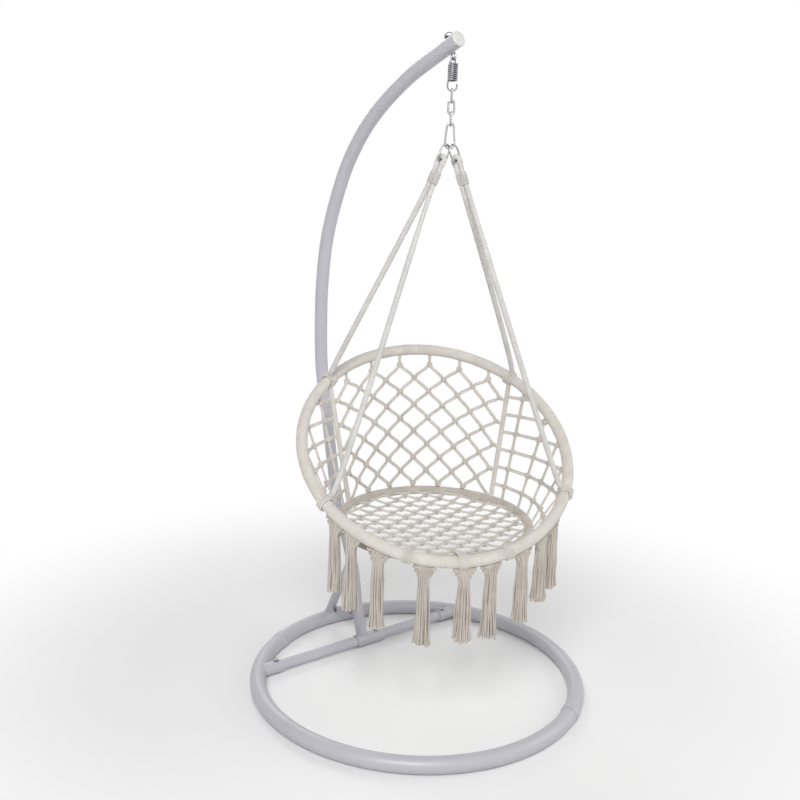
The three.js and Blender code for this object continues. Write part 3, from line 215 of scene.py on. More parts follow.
def mixIn(group, share, first, second, kind="MIX"):
    node = group.nodes.new("ShaderNodeMix")
    node.data_type, node.blend_type = "RGBA", kind
    for label, value in (("Factor", share), ("A", first), ("B", second)):
        socket = next(s for s in node.inputs if s.name == label and s.enabled)
        if isinstance(value, (int, float, tuple)):
            socket.default_value = value
        else:
            group.links.new(value, socket)
    return next(s for s in node.outputs if s.enabled)


def stretchIn(group, source, scale):
    node = group.nodes.new("ShaderNodeMapping")
    node.inputs["Scale"].default_value = scale
    group.links.new(source, node.inputs["Vector"])
    return node.outputs["Vector"]


# Powder coat: fine orange peel, floor dust with painted shade that darkens the paint towards the floor, and
# faint handling marks
coat = {
    "peelDetail": 2.0, "cloud": (9.0, 5.0), "marks": (55.0, 8.0, 0.7), "dustAndShadeFade": (0.0, 1.0, 0.55, 0.0),
    "dustAndShadeMarks": (0.38, 0.66), "scuffMarks": (0.63, 0.74), "scuffCloud": (0.45, 0.65, 0.0, 0.08),
    "toneCloud": (0.3, 0.7, 0.0, 0.16), "roughCloud": (0.3, 0.7, 0.36, 0.46), "wornAndShadedRough": 0.3,
}


def coatGroup():
    group, given, out = newGroup("powderCoatPeel", [
        ("Paint", colourSocket, None), ("Dust And Shade", colourSocket, None),
        ("Peel Scale", numberSocket, 900.0), ("Dust And Shade Height", numberSocket, 0.03)])
    place, paint, dustAndShade = (given[label] for label in ("Place", "Paint", "Dust And Shade"))
    peel = noiseIn(group, place, given["Peel Scale"], coat["peelDetail"])
    cloud, marks = noiseIn(group, place, *coat["cloud"]), noiseIn(group, place, *coat["marks"])
    parts = group.nodes.new("ShaderNodeSeparateXYZ")
    group.links.new(place, parts.inputs["Vector"])
    # Painted shade with floor dust: the paint turns darker towards the floor, in patches
    low = mathIn(group, "DIVIDE", parts.outputs["Z"], given["Dust And Shade Height"])
    lowDustAndShade = mathIn(group, "MULTIPLY", spanIn(group, low, *coat["dustAndShadeFade"]),
                   spanIn(group, marks, *coat["dustAndShadeMarks"]))
    scuff = mathIn(group, "MULTIPLY", spanIn(group, marks, *coat["scuffMarks"]),
                   spanIn(group, cloud, *coat["scuffCloud"]))
    tone = mixIn(group, spanIn(group, cloud, *coat["toneCloud"]), paint, dustAndShade)
    wornAndShaded = mathIn(group, "MAXIMUM", lowDustAndShade, scuff)
    rough = mathIn(group, "ADD", spanIn(group, cloud, *coat["roughCloud"]),
                   mathIn(group, "MULTIPLY", wornAndShaded, coat["wornAndShadedRough"]))
    return closeGroup(group, out, mixIn(group, wornAndShaded, tone, dustAndShade), rough, peel)


# Plated steel: cloudy plating, fine draw lines and darker spots
plate = {
    "cloud": (70.0, 6.0, 0.65), "drawn": (6.0, 6.0, 1.0), "lineDetail": 3.0, "spots": (420.0, 3.0),
    "spotSpan": (0.62, 0.72, 0.0, 0.55), "cloudSpan": (0.42, 0.75, 0.0, 0.6),
    "roughCloud": (0.3, 0.7, 0.24, 0.42), "roughLines": (0.3, 0.7, 0.0, 0.1),
}


def plateGroup():
    group, given, out = newGroup("platedSteel", [
        ("Metal", colourSocket, None), ("Tarnish", colourSocket, None), ("Grain Scale", numberSocket, 260.0)])
    place = given["Place"]
    cloud = noiseIn(group, place, *plate["cloud"])
    lines = noiseIn(group, stretchIn(group, place, plate["drawn"]), given["Grain Scale"], plate["lineDetail"])
    spots = spanIn(group, noiseIn(group, place, *plate["spots"]), *plate["spotSpan"])
    spread = mathIn(group, "MAXIMUM", spanIn(group, cloud, *plate["cloudSpan"]), spots)
    rough = mathIn(group, "ADD", spanIn(group, cloud, *plate["roughCloud"]),
                   spanIn(group, lines, *plate["roughLines"]))
    return closeGroup(group, out, mixIn(group, spread, given["Metal"], given["Tarnish"]), rough, lines)


# Cotton cord: long fibres along the cord's own map, patchy natural colour and a fine fuzz
cotton = {
    "fibreStretch": (26.0, 150.0, 1.0), "fibre": (1.0, 4.0, 0.7), "fuzz": (3.0, 0.6), "patch": (26.0, 4.0),
    "speck": (330.0, 2.0), "speckSpan": (0.58, 0.75, 0.0, 0.5), "patchSpan": (0.3, 0.7, 0.0, 0.35),
    "fibreSpan": (0.35, 0.75, 0.0, 0.4), "roughSpan": (0.3, 0.7, 0.82, 0.98),
    "fibreRise": 0.6, "fuzzRise": 0.4,
}


def cottonGroup():
    group, given, out = newGroup("cottonFibre", [
        ("Along", vectorSocket, None), ("Cotton", colourSocket, None), ("Shade", colourSocket, None),
        ("Fuzz Scale", numberSocket, 1400.0)])
    place = given["Place"]
    fibre = noiseIn(group, stretchIn(group, given["Along"], cotton["fibreStretch"]), *cotton["fibre"])
    fuzz = noiseIn(group, place, given["Fuzz Scale"], *cotton["fuzz"])
    patch = spanIn(group, noiseIn(group, place, *cotton["patch"]), *cotton["patchSpan"])
    speck = spanIn(group, noiseIn(group, place, *cotton["speck"]), *cotton["speckSpan"])
    tone = mathIn(group, "ADD", patch, spanIn(group, fibre, *cotton["fibreSpan"]))
    share = mathIn(group, "MINIMUM", mathIn(group, "ADD", tone, speck), 1.0)
    height = mathIn(group, "ADD", mathIn(group, "MULTIPLY", fibre, cotton["fibreRise"]),
                    mathIn(group, "MULTIPLY", fuzz, cotton["fuzzRise"]))
    return closeGroup(group, out, mixIn(group, share, given["Cotton"], given["Shade"]),
                      spanIn(group, fuzz, *cotton["roughSpan"]), height)


# What a kind of surface has in common, and what each finish sets or changes
finishKinds = {
    "coat": {"shading": coatGroup(), "slot": "powder_coat", "bump": 0.035, "depth": 0.0004, "metallic": 0.0,
             "shader": {}},
    "plate": {"shading": plateGroup(), "slot": "zinc", "bump": 0.15, "depth": 0.0003, "metallic": 1.0,
              "shader": {}},
    "cotton": {"shading": cottonGroup(), "slot": "ivory_cotton", "bump": 0.55, "depth": 0.0008,
               "metallic": 0.0, "shader": {"Sheen Weight": 0.25, "Sheen Roughness": 0.5}},
}
finishes = {
    "powderCoat": {"kind": "coat", "set": {"Paint": (0.50, 0.497, 0.54), "Dust And Shade": (0.36, 0.355, 0.38)},
                   "shader": {"Coat Weight": 0.25, "Coat Roughness": 0.3}},
    "zinc": {"kind": "plate", "set": {"Metal": (0.43, 0.43, 0.43), "Tarnish": (0.20, 0.20, 0.20)}},
    "darkSteel": {"kind": "plate", "set": {"Metal": (0.28, 0.27, 0.30), "Tarnish": (0.14, 0.14, 0.15)}},
    "capPlastic": {"kind": "coat", "slot": "cap_plastic", "bump": 0.2,
                   "set": {"Paint": (0.66, 0.66, 0.64), "Dust And Shade": (0.44, 0.44, 0.43), "Peel Scale": 500.0}},
    "ivoryCotton": {"kind": "cotton", "set": {"Cotton": (0.76, 0.73, 0.68), "Shade": (0.47, 0.43, 0.385)}},
    "ropeCotton": {"kind": "cotton", "set": {"Cotton": (0.73, 0.725, 0.70), "Shade": (0.40, 0.39, 0.37)},
                   "shader": {"Sheen Weight": 0.2, "Sheen Roughness": 0.5}},
    "beigeCotton": {"kind": "cotton", "slot": "beige_cotton",
                    "set": {"Cotton": (0.64, 0.59, 0.53), "Shade": (0.34, 0.30, 0.26)}},
}
finishes = {name: finishKinds[values["kind"]] | values for name, values in finishes.items()}


def makeFinish(name):
    values = finishes[name]
    material = bpy.data.materials.new(name)
    material.use_nodes = True
    nodes, links = material.node_tree.nodes, material.node_tree.links
    shader = nodes["Principled BSDF"]
    shader.inputs["Metallic"].default_value = values["metallic"]
    for label, value in values["shader"].items():
        shader.inputs[label].default_value = value
    group = nodes.new("ShaderNodeGroup")
    group.node_tree = values["shading"]
    for label, value in values["set"].items():
        group.inputs[label].default_value = (*value, 1.0) if isinstance(value, tuple) else value
    places = nodes.new("ShaderNodeTexCoord")
    links.new(places.outputs["Object"], group.inputs["Place"])
    if "Along" in group.inputs:
        links.new(places.outputs["UV"], group.inputs["Along"])
    bump = nodes.new("ShaderNodeBump")
    bump.inputs["Strength"].default_value = values["bump"]
    bump.inputs["Distance"].default_value = values["depth"]
    links.new(group.outputs["Height"], bump.inputs["Height"])
    links.new(group.outputs["Colour"], shader.inputs["Base Color"])
    links.new(group.outputs["Roughness"], shader.inputs["Roughness"])
    links.new(bump.outputs["Normal"], shader.inputs["Normal"])
    return material


materials = {name: makeFinish(name) for name in finishes}
print("hammock chair: finishes")

# Shaping tools
fullTurn = 2 * math.pi
goldenTurn = 2.39996


def cosOf(angle):
    return math.cos(math.radians(angle))


def sinOf(angle):
    return math.sin(math.radians(angle))


def spot(radius, angle):
    return Vector((radius * cosOf(angle), 0.0, radius * sinOf(angle)))


# A smooth line through given points, its spans weighted by the square root of their length
def smoothLine(points, steps):
    points = [Vector(p) for p in points]
    padded = [2 * points[0] - points[1], *points, 2 * points[-1] - points[-2]]
    line = []
    for p0, p1, p2, p3 in zip(padded, padded[1:], padded[2:], padded[3:]):
        d0, d1, d2 = (math.sqrt(max((b - a).length, 1e-9)) for a, b in ((p0, p1), (p1, p2), (p2, p3)))
        out = ((p1 - p0) / d0 - (p2 - p0) / (d0 + d1) + (p2 - p1) / d1) * d1
        into = ((p2 - p1) / d1 - (p3 - p1) / (d1 + d2) + (p3 - p2) / d2) * d1
        for k in range(steps):
            t = k / steps
            line.append((2 * t**3 - 3 * t**2 + 1) * p1 + (t**3 - 2 * t**2 + t) * out
                        + (3 * t**2 - 2 * t**3) * p2 + (t**3 - t**2) * into)
    return line + [points[-1]]


def lengthsAlong(line):
    lengths = [0.0]
    for a, b in zip(line, line[1:]):
        lengths.append(lengths[-1] + (b - a).length)
    return lengths


# The same line with its points an even step apart
def evenLine(line, step):
    lengths = lengthsAlong(line)
    count = max(2, round(lengths[-1] / step))
    even, i = [], 0
    for k in range(count + 1):
        wanted = lengths[-1] * k / count
        while i < len(line) - 2 and lengths[i + 1] < wanted:
            i += 1
        span = max(lengths[i + 1] - lengths[i], 1e-9)
        even.append(line[i].lerp(line[i + 1], min((wanted - lengths[i]) / span, 1.0)))
    return even


# Axes carried along a line without twist; on a closed line the leftover twist is spread evenly
def carriedAxes(line, closed):
    count = len(line)
    tangents = []
    for i in range(count):
        before = line[i - 1] if i > 0 else (line[-2] if closed else line[0])
        after = line[i + 1] if i < count - 1 else (line[1] if closed else line[-1])
        tangents.append((after - before).normalized())
    least = min(range(3), key=lambda k: abs(tangents[0][k]))
    normal = Vector([1.0 if k == least else 0.0 for k in range(3)])
    normals = []
    for tangent in tangents:
        normal = (normal - normal.dot(tangent) * tangent).normalized()
        normals.append(normal)
    if closed:
        left = math.atan2(normals[0].cross(normals[-1]).dot(tangents[0]), normals[0].dot(normals[-1]))
        normals = [Matrix.Rotation(-left * i / (count - 1), 3, t) @ n
                   for i, (n, t) in enumerate(zip(normals, tangents))]
    return [(t, n, t.cross(n)) for t, n in zip(tangents, normals)]


# A grid rolled into a tube along a line. radiusAt gives the radius at a length and an angle
def rollTube(bm, line, radiusAt, sides=16, closed=False):
    if not callable(radiusAt):
        plain = radiusAt
        radiusAt = lambda along, around: plain
    uv = bm.loops.layers.uv.verify()
    rows = len(line) - 1
    made = bmesh.ops.create_grid(bm, x_segments=sides, y_segments=rows, size=0.5, calc_uvs=True)["verts"]
    axes, lengths = carriedAxes(line, closed), lengthsAlong(line)
    seam = []
    for vert in made:
        share, row = vert.co.x + 0.5, round((vert.co.y + 0.5) * rows)
        around = fullTurn * share
        tangent, normal, binormal = axes[row]
        radius = radiusAt(lengths[row], around)
        vert.co = line[row] + normal * (radius * math.cos(around)) + binormal * (radius * math.sin(around))
        if share < 1e-4 or share > 0.9999 or (closed and row in (0, rows)):
            seam.append(vert)
    for face in {f for vert in made for f in vert.link_faces}:
        for loop in face.loops:
            loop[uv].uv.y *= lengths[-1]
    bmesh.ops.remove_doubles(bm, verts=seam, dist=1e-6)
    if not closed:
        rims = {e for vert in made if vert.is_valid for e in vert.link_edges if e.is_boundary}
        for face in bmesh.ops.holes_fill(bm, edges=list(rims), sides=sides)["faces"]:
            face.normal_update()
            middle = face.calc_center_median()
            nearStart = (middle - line[0]).length < (middle - line[-1]).length
            outward = -axes[0][0] if nearStart else axes[-1][0]
            if face.normal.dot(outward) < 0:
                face.normal_flip()
    return [vert for vert in made if vert.is_valid]


def absorb(bm, part, place=None):
    if place is not None:
        bmesh.ops.transform(part, matrix=place, verts=part.verts)
    held = bpy.data.meshes.new("held")
    part.to_mesh(held)
    part.free()
    bm.from_mesh(held)
    bpy.data.meshes.remove(held)


def alignTo(at, axis):
    axis = Vector(axis).normalized()
    side = axis.orthogonal()
    side = (side - side.dot(axis) * axis).normalized()
    turn = Matrix((side, axis.cross(side), axis)).transposed().to_4x4()
    return Matrix.Translation(at) @ turn


# A profile of (radius, height) pairs spun about an axis
def spinProfile(bm, profile, at, axis, steps=48):
    part = bmesh.new()
    verts = [part.verts.new((radius, 0.0, height)) for radius, height in profile]
    edges = [part.edges.new(pair) for pair in zip(verts, verts[1:])]
    bmesh.ops.spin(part, geom=verts + edges, cent=(0, 0, 0), axis=(0, 0, 1), angle=fullTurn,
                   steps=steps, use_merge=True)
    bmesh.ops.remove_doubles(part, verts=part.verts, dist=1e-7)
    bmesh.ops.recalc_face_normals(part, faces=part.faces)
    absorb(bm, part, alignTo(at, axis))


def bevelEdges(bm, edges, offset):
    bmesh.ops.bevel(bm, geom=edges, offset=offset, segments=2, profile=0.5, affect="EDGES", material=-1)


def hexPrism(bm, at, axis, acrossCorners, height, chamfer):
    part = bmesh.new()
    bmesh.ops.create_cone(part, cap_ends=True, segments=6, radius1=acrossCorners / 2,
                          radius2=acrossCorners / 2, depth=height)
    bmesh.ops.translate(part, verts=part.verts, vec=(0, 0, height / 2))
    bevelEdges(part, part.edges, chamfer)
    absorb(bm, part, alignTo(at, axis))


# Flat plate with round ends between two places in the plane of X
def roundEndPlate(bm, first, second, radius, low, high, bevel=0.0006):
    part = bmesh.new()
    along = second - first
    lean = math.atan2(along.z, along.y)
    rim = []
    for centre, start in ((second, lean - math.pi / 2), (first, lean + math.pi / 2)):
        for k in range(13):
            angle = start + k * math.pi / 12
            place = (low, centre.y + radius * math.cos(angle), centre.z + radius * math.sin(angle))
            rim.append(part.verts.new(place))
    face = part.faces.new(rim)
    grown = bmesh.ops.extrude_face_region(part, geom=[face])["geom"]
    raised = [item for item in grown if isinstance(item, bmesh.types.BMVert)]
    bmesh.ops.translate(part, verts=raised, vec=(high - low, 0, 0))
    bmesh.ops.recalc_face_normals(part, faces=part.faces)
    sharp = [e for e in part.edges if e.calc_face_angle(0.0) > 1.0]
    bevelEdges(part, sharp, bevel)
    absorb(bm, part)


# Weld bead where a round tube meets the outside of another, with the lumps of its passes
weld = {"bead": 0.0024, "lumpLength": 0.0035, "lump": 0.12, "steps": 96}


def weldBead(bm, foot, direction, radius, axisPoint, axis, axisRadius):
    direction, axis = Vector(direction).normalized(), Vector(axis).normalized()
    side = direction.orthogonal().normalized()
    other = direction.cross(side)
    line, count = [], weld["steps"]
    for k in range(count + 1):
        angle = fullTurn * (k % count) / count
        start = foot + radius * (side * math.cos(angle) + other * math.sin(angle)) - axisPoint
        flat = start - start.dot(axis) * axis
        slope = direction - direction.dot(axis) * axis
        a, b, c = slope.length_squared, flat.dot(slope), flat.length_squared - axisRadius**2
        reach = (-b + math.sqrt(max(b * b - a * c, 0.0))) / a
        line.append(axisPoint + start + direction * reach)
    total = lengthsAlong(line)[-1]
    lumps = round(total / weld["lumpLength"])

    def beadRadius(along, around):
        return weld["bead"] * (1 - weld["lump"] + weld["lump"] * math.cos(fullTurn * lumps * along / total))
    rollTube(bm, line, beadRadius, sides=10, closed=True)


def finishPiece(bm, name, material, body, nodes=(), sharpAngle=None):
    mesh = bpy.data.meshes.new(name)
    bm.to_mesh(mesh)
    bm.free()
    mesh.shade_smooth()
    if sharpAngle is not None:
        mesh.set_sharp_from_angle(angle=math.radians(sharpAngle))
    piece = bpy.data.objects.new(name, mesh)
    bpy.context.collection.objects.link(piece)
    mesh.materials.append(materials[material])
    if nodes:
        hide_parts(*nodes)
    if body is not None:
        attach(piece, body)
    return piece


# The plumb line under the eye bolt, read from the chain
linkLow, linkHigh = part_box("link_2")
plumb = Vector(((linkLow[0] + linkHigh[0]) / 2, (linkLow[1] + linkHigh[1]) / 2, 0.0))
plumbBack = -0.054
shiftY = plumb.y - plumbBack


def onStand(x, y, z):
    return Vector((x, y + shiftY, z))


# Base ring: two halves of bent tube, with a swaged collar where one takes the other
ring = {
    "radius": 0.4987, "tube": 0.02415, "seam": 116.0, "gap": 0.0004, "collarLength": 0.034,
    "collarRise": 0.0024, "collarFade": 0.004, "lip": 0.0008, "lipLength": 0.0012, "fineSteps": 40,
    "fineStep": 0.12, "steps": 120, "barY": 0.290, "barRadius": 0.0167, "barGap": 0.0003,
    "socketRadius": 0.0203, "socketSink": 0.006, "socketEnd": 0.325, "barEnd": 0.361, "boltX": 0.343,
    "outerRound": 0.0008, "innerRound": 0.0006,
}
ringHeight = ring["tube"]
tubeSharp = 38    # degrees, the least angle of a sharp edge on tubes and plates
barCentre = onStand(0.0, ring["barY"], ringHeight)


def ringPlace(angle):
    return onStand(ring["radius"] * cosOf(angle), ring["radius"] * sinOf(angle), ringHeight)


def collarRadius(along, around):
    over = max(0.0, min(1.0, (ring["collarLength"] - along) / ring["collarFade"]))
    lip = max(0.0, 1.0 - along / ring["lipLength"]) * ring["lip"]
    return ring["tube"] + ring["collarRise"] * (3 * over**2 - 2 * over**3) - lip


def ringHalf(name, node, start, side):
    bm = bmesh.new()
    gapAngle = math.degrees(ring["gap"] / ring["radius"])
    finePart = [start + gapAngle + k * ring["fineStep"] for k in range(ring["fineSteps"])]
    left = start + 180 - gapAngle - finePart[-1]
    rest = [finePart[-1] + left * k / ring["steps"] for k in range(1, ring["steps"] + 1)]
    line = [ringPlace(angle) for angle in finePart + rest]
    for vert in rollTube(bm, line, collarRadius, sides=40):
        vert.co.z = max(vert.co.z, 0.0)
    outer, inner, end = ring["socketRadius"], ring["barRadius"] + ring["barGap"], ring["socketEnd"]
    ringX = math.sqrt(ring["radius"] ** 2 - ring["barY"] ** 2)
    profile = [(outer, side * (ringX - ring["socketSink"])), (outer, side * (end + ring["outerRound"])),
               (outer - ring["outerRound"], side * end), (inner + ring["innerRound"], side * end),
               (inner, side * (end + ring["innerRound"])), (inner, side * ring["barEnd"])]
    spinProfile(bm, profile, barCentre, (1, 0, 0))
    beadAt = math.degrees(math.atan2(ring["barY"], side * ringX))
    ringPoint = ringPlace(beadAt)
    tangent = Vector((-sinOf(beadAt), cosOf(beadAt), 0.0))
    weldBead(bm, ringPoint, (-side, 0, 0), outer, ringPoint, tangent, ring["tube"])
    finishPiece(bm, name, "powderCoat", "stand", [node], tubeSharp)


ringHalf("ringFrontLeft", "ring_front_left", ring["seam"], -1)
ringHalf("ringRearRight", "ring_rear_right", ring["seam"] + 180, 1)

bm = bmesh.new()
barLine = [barCentre + Vector((x, 0, 0)) for x in (-ring["barEnd"], 0.0, ring["barEnd"])]
rollTube(bm, barLine, ring["barRadius"], 40)
finishPiece(bm, "crossBar", "powderCoat", "stand", ["cross_bar"], tubeSharp)
print("hammock chair: base ring and cross bar")

# Post: a lower bend, a straight middle and an arch, as shares of its reach and height
post = {
    "reach": 0.581, "height": 1.921, "footBack": 0.007, "lowerRadius": 0.0187, "upperRadius": 0.0211,
    "lowerStep": 0.012, "upperStep": 0.01, "edgeStep": 0.0004, "edgeSteps": 4, "edge": 0.0009,
    "edgeLength": 0.0012, "edgeEnd": 0.004,
    "upperStart": 0.780, "lowerEnd": 0.876, "saddleRadius": 0.0206, "saddleLeft": 0.032, "saddleRight": 0.078,
    "saddleBoltX": 0.050,
    "lowShares": [(0.577, 0.076), (0.62, 0.134), (0.719, 0.2), (0.819, 0.267), (0.842, 0.2915)],
    "archShares": [(0.974, 0.458), (0.99, 0.489), (1, 0.56), (0.993, 0.625), (0.952, 0.7), (0.866, 0.769),
                   (0.742, 0.8355), (0.5525, 0.8975), (0.267, 0.954), (0, 0.9885), (-0.07, 0.9971),
                   (-0.1214, 1.0035)],
}


def postPoint(share):
    return onStand(0.0, share[0] * post["reach"], share[1] * post["height"])


postFoot = barCentre + Vector((0, post["footBack"], 0))
lowLine = smoothLine([postFoot, *(postPoint(s) for s in post["lowShares"])], 14)
archLine = smoothLine([postPoint(s) for s in post["archShares"]], 10)
middleBase, middleTop = lowLine[-1], archLine[0]
middleWay = (middleTop - middleBase).normalized()


def onMiddle(height):
    return middleBase + middleWay * ((height - middleBase.z) / middleWay.z)


brace = {
    "foot": onStand(0, 0.509, ringHeight + 0.006), "top": postPoint((0.6713, 0.1312)),
    "gussetFront": postPoint((0.63, 0.051)), "gussetAlong": 0.0585, "gussetOut": 0.0265, "radius": 0.0147,
    "plate": 0.004, "gap": 0.0003, "endRadius": 0.011, "flatFrom": 0.052, "flatTo": 0.018,
    "tab": 0.022, "tabInset": 0.001, "step": 0.004,
}
braceWay = (brace["top"] - brace["foot"]).normalized()
brace["gussetRear"] = brace["foot"] + braceWay * brace["gussetAlong"]
brace["gussetRear"] += Vector((0, -braceWay.z, braceWay.y)) * brace["gussetOut"]
lugSpan = (brace["gap"], brace["gap"] + brace["plate"])
tabSpan = (-brace["gap"] - brace["plate"], -brace["gap"])


def nearestOn(line, point):
    return min(line, key=lambda place: (place - point).length)


def makeLowerPost():
    bm = bmesh.new()
    rollTube(bm, evenLine(lowLine + [onMiddle(post["lowerEnd"])], post["lowerStep"]), post["lowerRadius"], 40)
    outer, inner = post["saddleRadius"], ring["barRadius"] + ring["barGap"]
    left, right = -post["saddleLeft"], post["saddleRight"]
    outside, inside = ring["outerRound"], ring["innerRound"]
    profile = [(inner, left + inside), (inner + inside, left), (outer - outside, left),
               (outer, left + outside), (outer, right - outside), (outer - outside, right),
               (inner + inside, right), (inner, right - inside), (inner, left + inside)]
    spinProfile(bm, profile, barCentre, (1, 0, 0))
    for bolt in (brace["top"], brace["gussetFront"]):
        roundEndPlate(bm, nearestOn(lowLine, bolt), bolt, brace["endRadius"], *lugSpan)
    footWay = (lowLine[3] - lowLine[0]).normalized()
    weldBead(bm, postFoot, footWay, post["lowerRadius"], barCentre, (1, 0, 0), outer)
    finishPiece(bm, "postLower", "powderCoat", "stand", ["post_lower"], tubeSharp)


def upperEdge(along, around):
    return post["upperRadius"] - post["edge"] * max(0.0, 1.0 - along / post["edgeLength"])


def makeUpperPost():
    bm = bmesh.new()
    start = onMiddle(post["upperStart"])
    edge = [start + middleWay * k * post["edgeStep"] for k in range(post["edgeSteps"])]
    rest = [start + middleWay * post["edgeEnd"], *archLine]
    rollTube(bm, edge + evenLine(rest, post["upperStep"]), upperEdge, 44)
    finishPiece(bm, "postUpper", "powderCoat", "stand", ["post_upper"], tubeSharp)


# Rear brace: a tube whose top is pressed flat to take its bolt
def makeBrace():
    bm = bmesh.new()
    way, length = braceWay, (brace["top"] - brace["foot"]).length
    line = evenLine([brace["foot"], brace["foot"] + way * (length - brace["flatTo"])], brace["step"])
    middle = (tabSpan[0] + tabSpan[1]) / 2
    for vert in rollTube(bm, line, brace["radius"], 36):
        left = length - (vert.co - brace["foot"]).dot(way)
        press = max(0.0, min(1.0, (brace["flatFrom"] - left) / (brace["flatFrom"] - brace["flatTo"])))
        press = 3 * press**2 - 2 * press**3
        vert.co.x += press * (middle + vert.co.x * (brace["plate"] / 2 / brace["radius"]) - vert.co.x)
    tabStart = brace["top"] - way * brace["tab"]
    roundEndPlate(bm, tabStart, brace["top"], brace["radius"] - brace["tabInset"], *tabSpan)
    root = brace["foot"] + way * (brace["gussetRear"] - brace["foot"]).dot(way)
    roundEndPlate(bm, root, brace["gussetRear"], brace["endRadius"], *lugSpan)
    ringBack = ringPlace(90)
    weldBead(bm, brace["foot"], way, brace["radius"], ringBack, (1, 0, 0), ring["tube"])
    finishPiece(bm, "rearBrace", "powderCoat", "stand", ["rear_brace"], tubeSharp)
    bm = bmesh.new()
    roundEndPlate(bm, brace["gussetFront"], brace["gussetRear"], brace["endRadius"], *tabSpan)
    finishPiece(bm, "gussetLink", "powderCoat", "stand", ["gusset_link"], tubeSharp)


makeLowerPost()
makeUpperPost()
makeBrace()
print("hammock chair: post and brace")

# Bolts: a washer and a chamfered hexagon head, and a nut where the bolt goes through two plates
bolt = {"washer": 0.0092, "washerThick": 0.0014, "head": 0.0150, "height": 0.0052, "end": 0.004,
        "round": 0.0003, "chamfer": 0.0005, "sink": 0.0004, "depth": 0.008, "proud": 0.0006}
boltSharp = 30


def boltEnd(bm, at, axis):
    axis = Vector(axis)
    thick, wide, edge = bolt["washerThick"], bolt["washer"], bolt["round"]
    spinProfile(bm, [(0.0, 0.0), (wide - edge, 0.0), (wide, edge), (wide, thick - edge), (wide - edge, thick),
                     (0.0, thick)], at, axis, 40)
    hexPrism(bm, at + axis * thick, axis, bolt["head"], bolt["height"] - thick, bolt["chamfer"])


def topBolt(name, node, x, tubeRadius):
    bm = bmesh.new()
    at = barCentre + Vector((x, 0, tubeRadius - bolt["sink"]))
    boltEnd(bm, at, (0, 0, 1))
    rollTube(bm, [at - Vector((0, 0, bolt["depth"])), at], bolt["end"], 16)
    finishPiece(bm, name, "darkSteel", "stand", [node], boltSharp)


def plateBolt(name, node, at):
    bm = bmesh.new()
    half = brace["gap"] + brace["plate"]
    boltEnd(bm, at - Vector((half, 0, 0)), (-1, 0, 0))
    boltEnd(bm, at + Vector((half, 0, 0)), (1, 0, 0))
    reach = half + bolt["height"] + bolt["proud"]
    rollTube(bm, [at - Vector((half, 0, 0)), at + Vector((reach, 0, 0))], bolt["end"], 20)
    finishPiece(bm, name, "darkSteel", "stand", [node], boltSharp)


topBolt("crossBarBoltLeft", "cross_bar_bolt_left", -ring["boltX"], ring["socketRadius"])
topBolt("crossBarBoltRight", "cross_bar_bolt_right", ring["boltX"], ring["socketRadius"])
topBolt("postFootBolt", "post_foot_bolt", post["saddleBoltX"], post["saddleRadius"])
plateBolt("braceTopBolt", "brace_top_bolt", brace["top"])
plateBolt("gussetBoltRear", "gusset_bolt_rear", brace["gussetRear"])
plateBolt("gussetBoltFront", "gusset_bolt_front", brace["gussetFront"])

# Post tip: a moulded cap, and the eye bolt with its dome nut
tip = {
    "capHeight": 0.009, "capOver": 0.0002, "capPlug": 0.012, "plugInset": 0.003, "capLift": 0.0002,
    "capEdge": 0.0004, "capRound": 0.0008, "capRim": 0.0024, "eyeY": -0.0413, "eyeRadius": 0.0085,
    "eyeWire": 0.0029, "eyeDrop": 0.003, "archSteps": 17,
    "tube": 0.022, "gap": 0.0003, "shank": 0.0038, "shankAbove": 0.009, "threadDepth": 0.00022,
    "threadPitch": 0.0012, "threadStep": 0.0004, "nutCorners": 0.0258, "nutHex": 0.0056, "nutDome": 0.0060,
    "domeShare": 0.43, "domeSink": 0.001, "domeOverlap": 0.0004, "chamfer": 0.0006, "washer": 0.0134,
    "washerThick": 0.0016, "washerSink": 0.0012, "washerRound": 0.0003, "washerSlope": 0.0002,
}
archPoints = evenLine(archLine, lengthsAlong(archLine)[-1] / tip["archSteps"])
tipPlace, beforeTip = archPoints[-1], archPoints[-2]
tipWay = (tipPlace - beforeTip).normalized()
tipUp = Vector((0, tipWay.z, -tipWay.y)).normalized()
eyeY = tip["eyeY"] + shiftY
eyeOnTube = beforeTip.lerp(tipPlace, (eyeY - beforeTip.y) / (tipPlace.y - beforeTip.y))
eyeCentre = eyeOnTube - tipUp * (tip["tube"] + tip["gap"] + tip["eyeRadius"] + tip["eyeDrop"])

bm = bmesh.new()
capRadius, capDome = post["upperRadius"] + tip["capOver"], tip["capHeight"] - tip["capRim"]
plugRadius, capFoot = capRadius - tip["plugInset"], tip["capLift"]
capProfile = [(0.0, -tip["capPlug"]), (plugRadius, -tip["capPlug"]), (plugRadius, capFoot),
              (capRadius - tip["capEdge"], capFoot), (capRadius, tip["capRound"])]
capProfile += [(capRadius * cosOf(a), tip["capRim"] + capDome * sinOf(a)) for a in range(0, 90, 10)]
capProfile.append((0.0, tip["capHeight"]))
spinProfile(bm, capProfile, tipPlace, tipWay, 56)
finishPiece(bm, "tipCap", "capPlastic", "stand", ["tip_cap"], 50)

bm = bmesh.new()
loop = [eyeCentre + tip["eyeRadius"] * (Vector((0, 1, 0)) * math.cos(fullTurn * k / 64)
                                        + Vector((0, 0, 1)) * math.sin(fullTurn * k / 64)) for k in range(65)]
rollTube(bm, loop, tip["eyeWire"], 20, closed=True)
shankTop = eyeOnTube + tipUp * (tip["tube"] + tip["shankAbove"])
shank = evenLine([eyeCentre + tipUp * tip["eyeRadius"], shankTop], tip["threadStep"])


def threadRadius(along, around):
    return tip["shank"] + tip["threadDepth"] * math.cos(fullTurn * along / tip["threadPitch"] + around)


rollTube(bm, shank, threadRadius, 20)
finishPiece(bm, "eyeBolt", "zinc", "stand", ["eye_bolt"], 60)

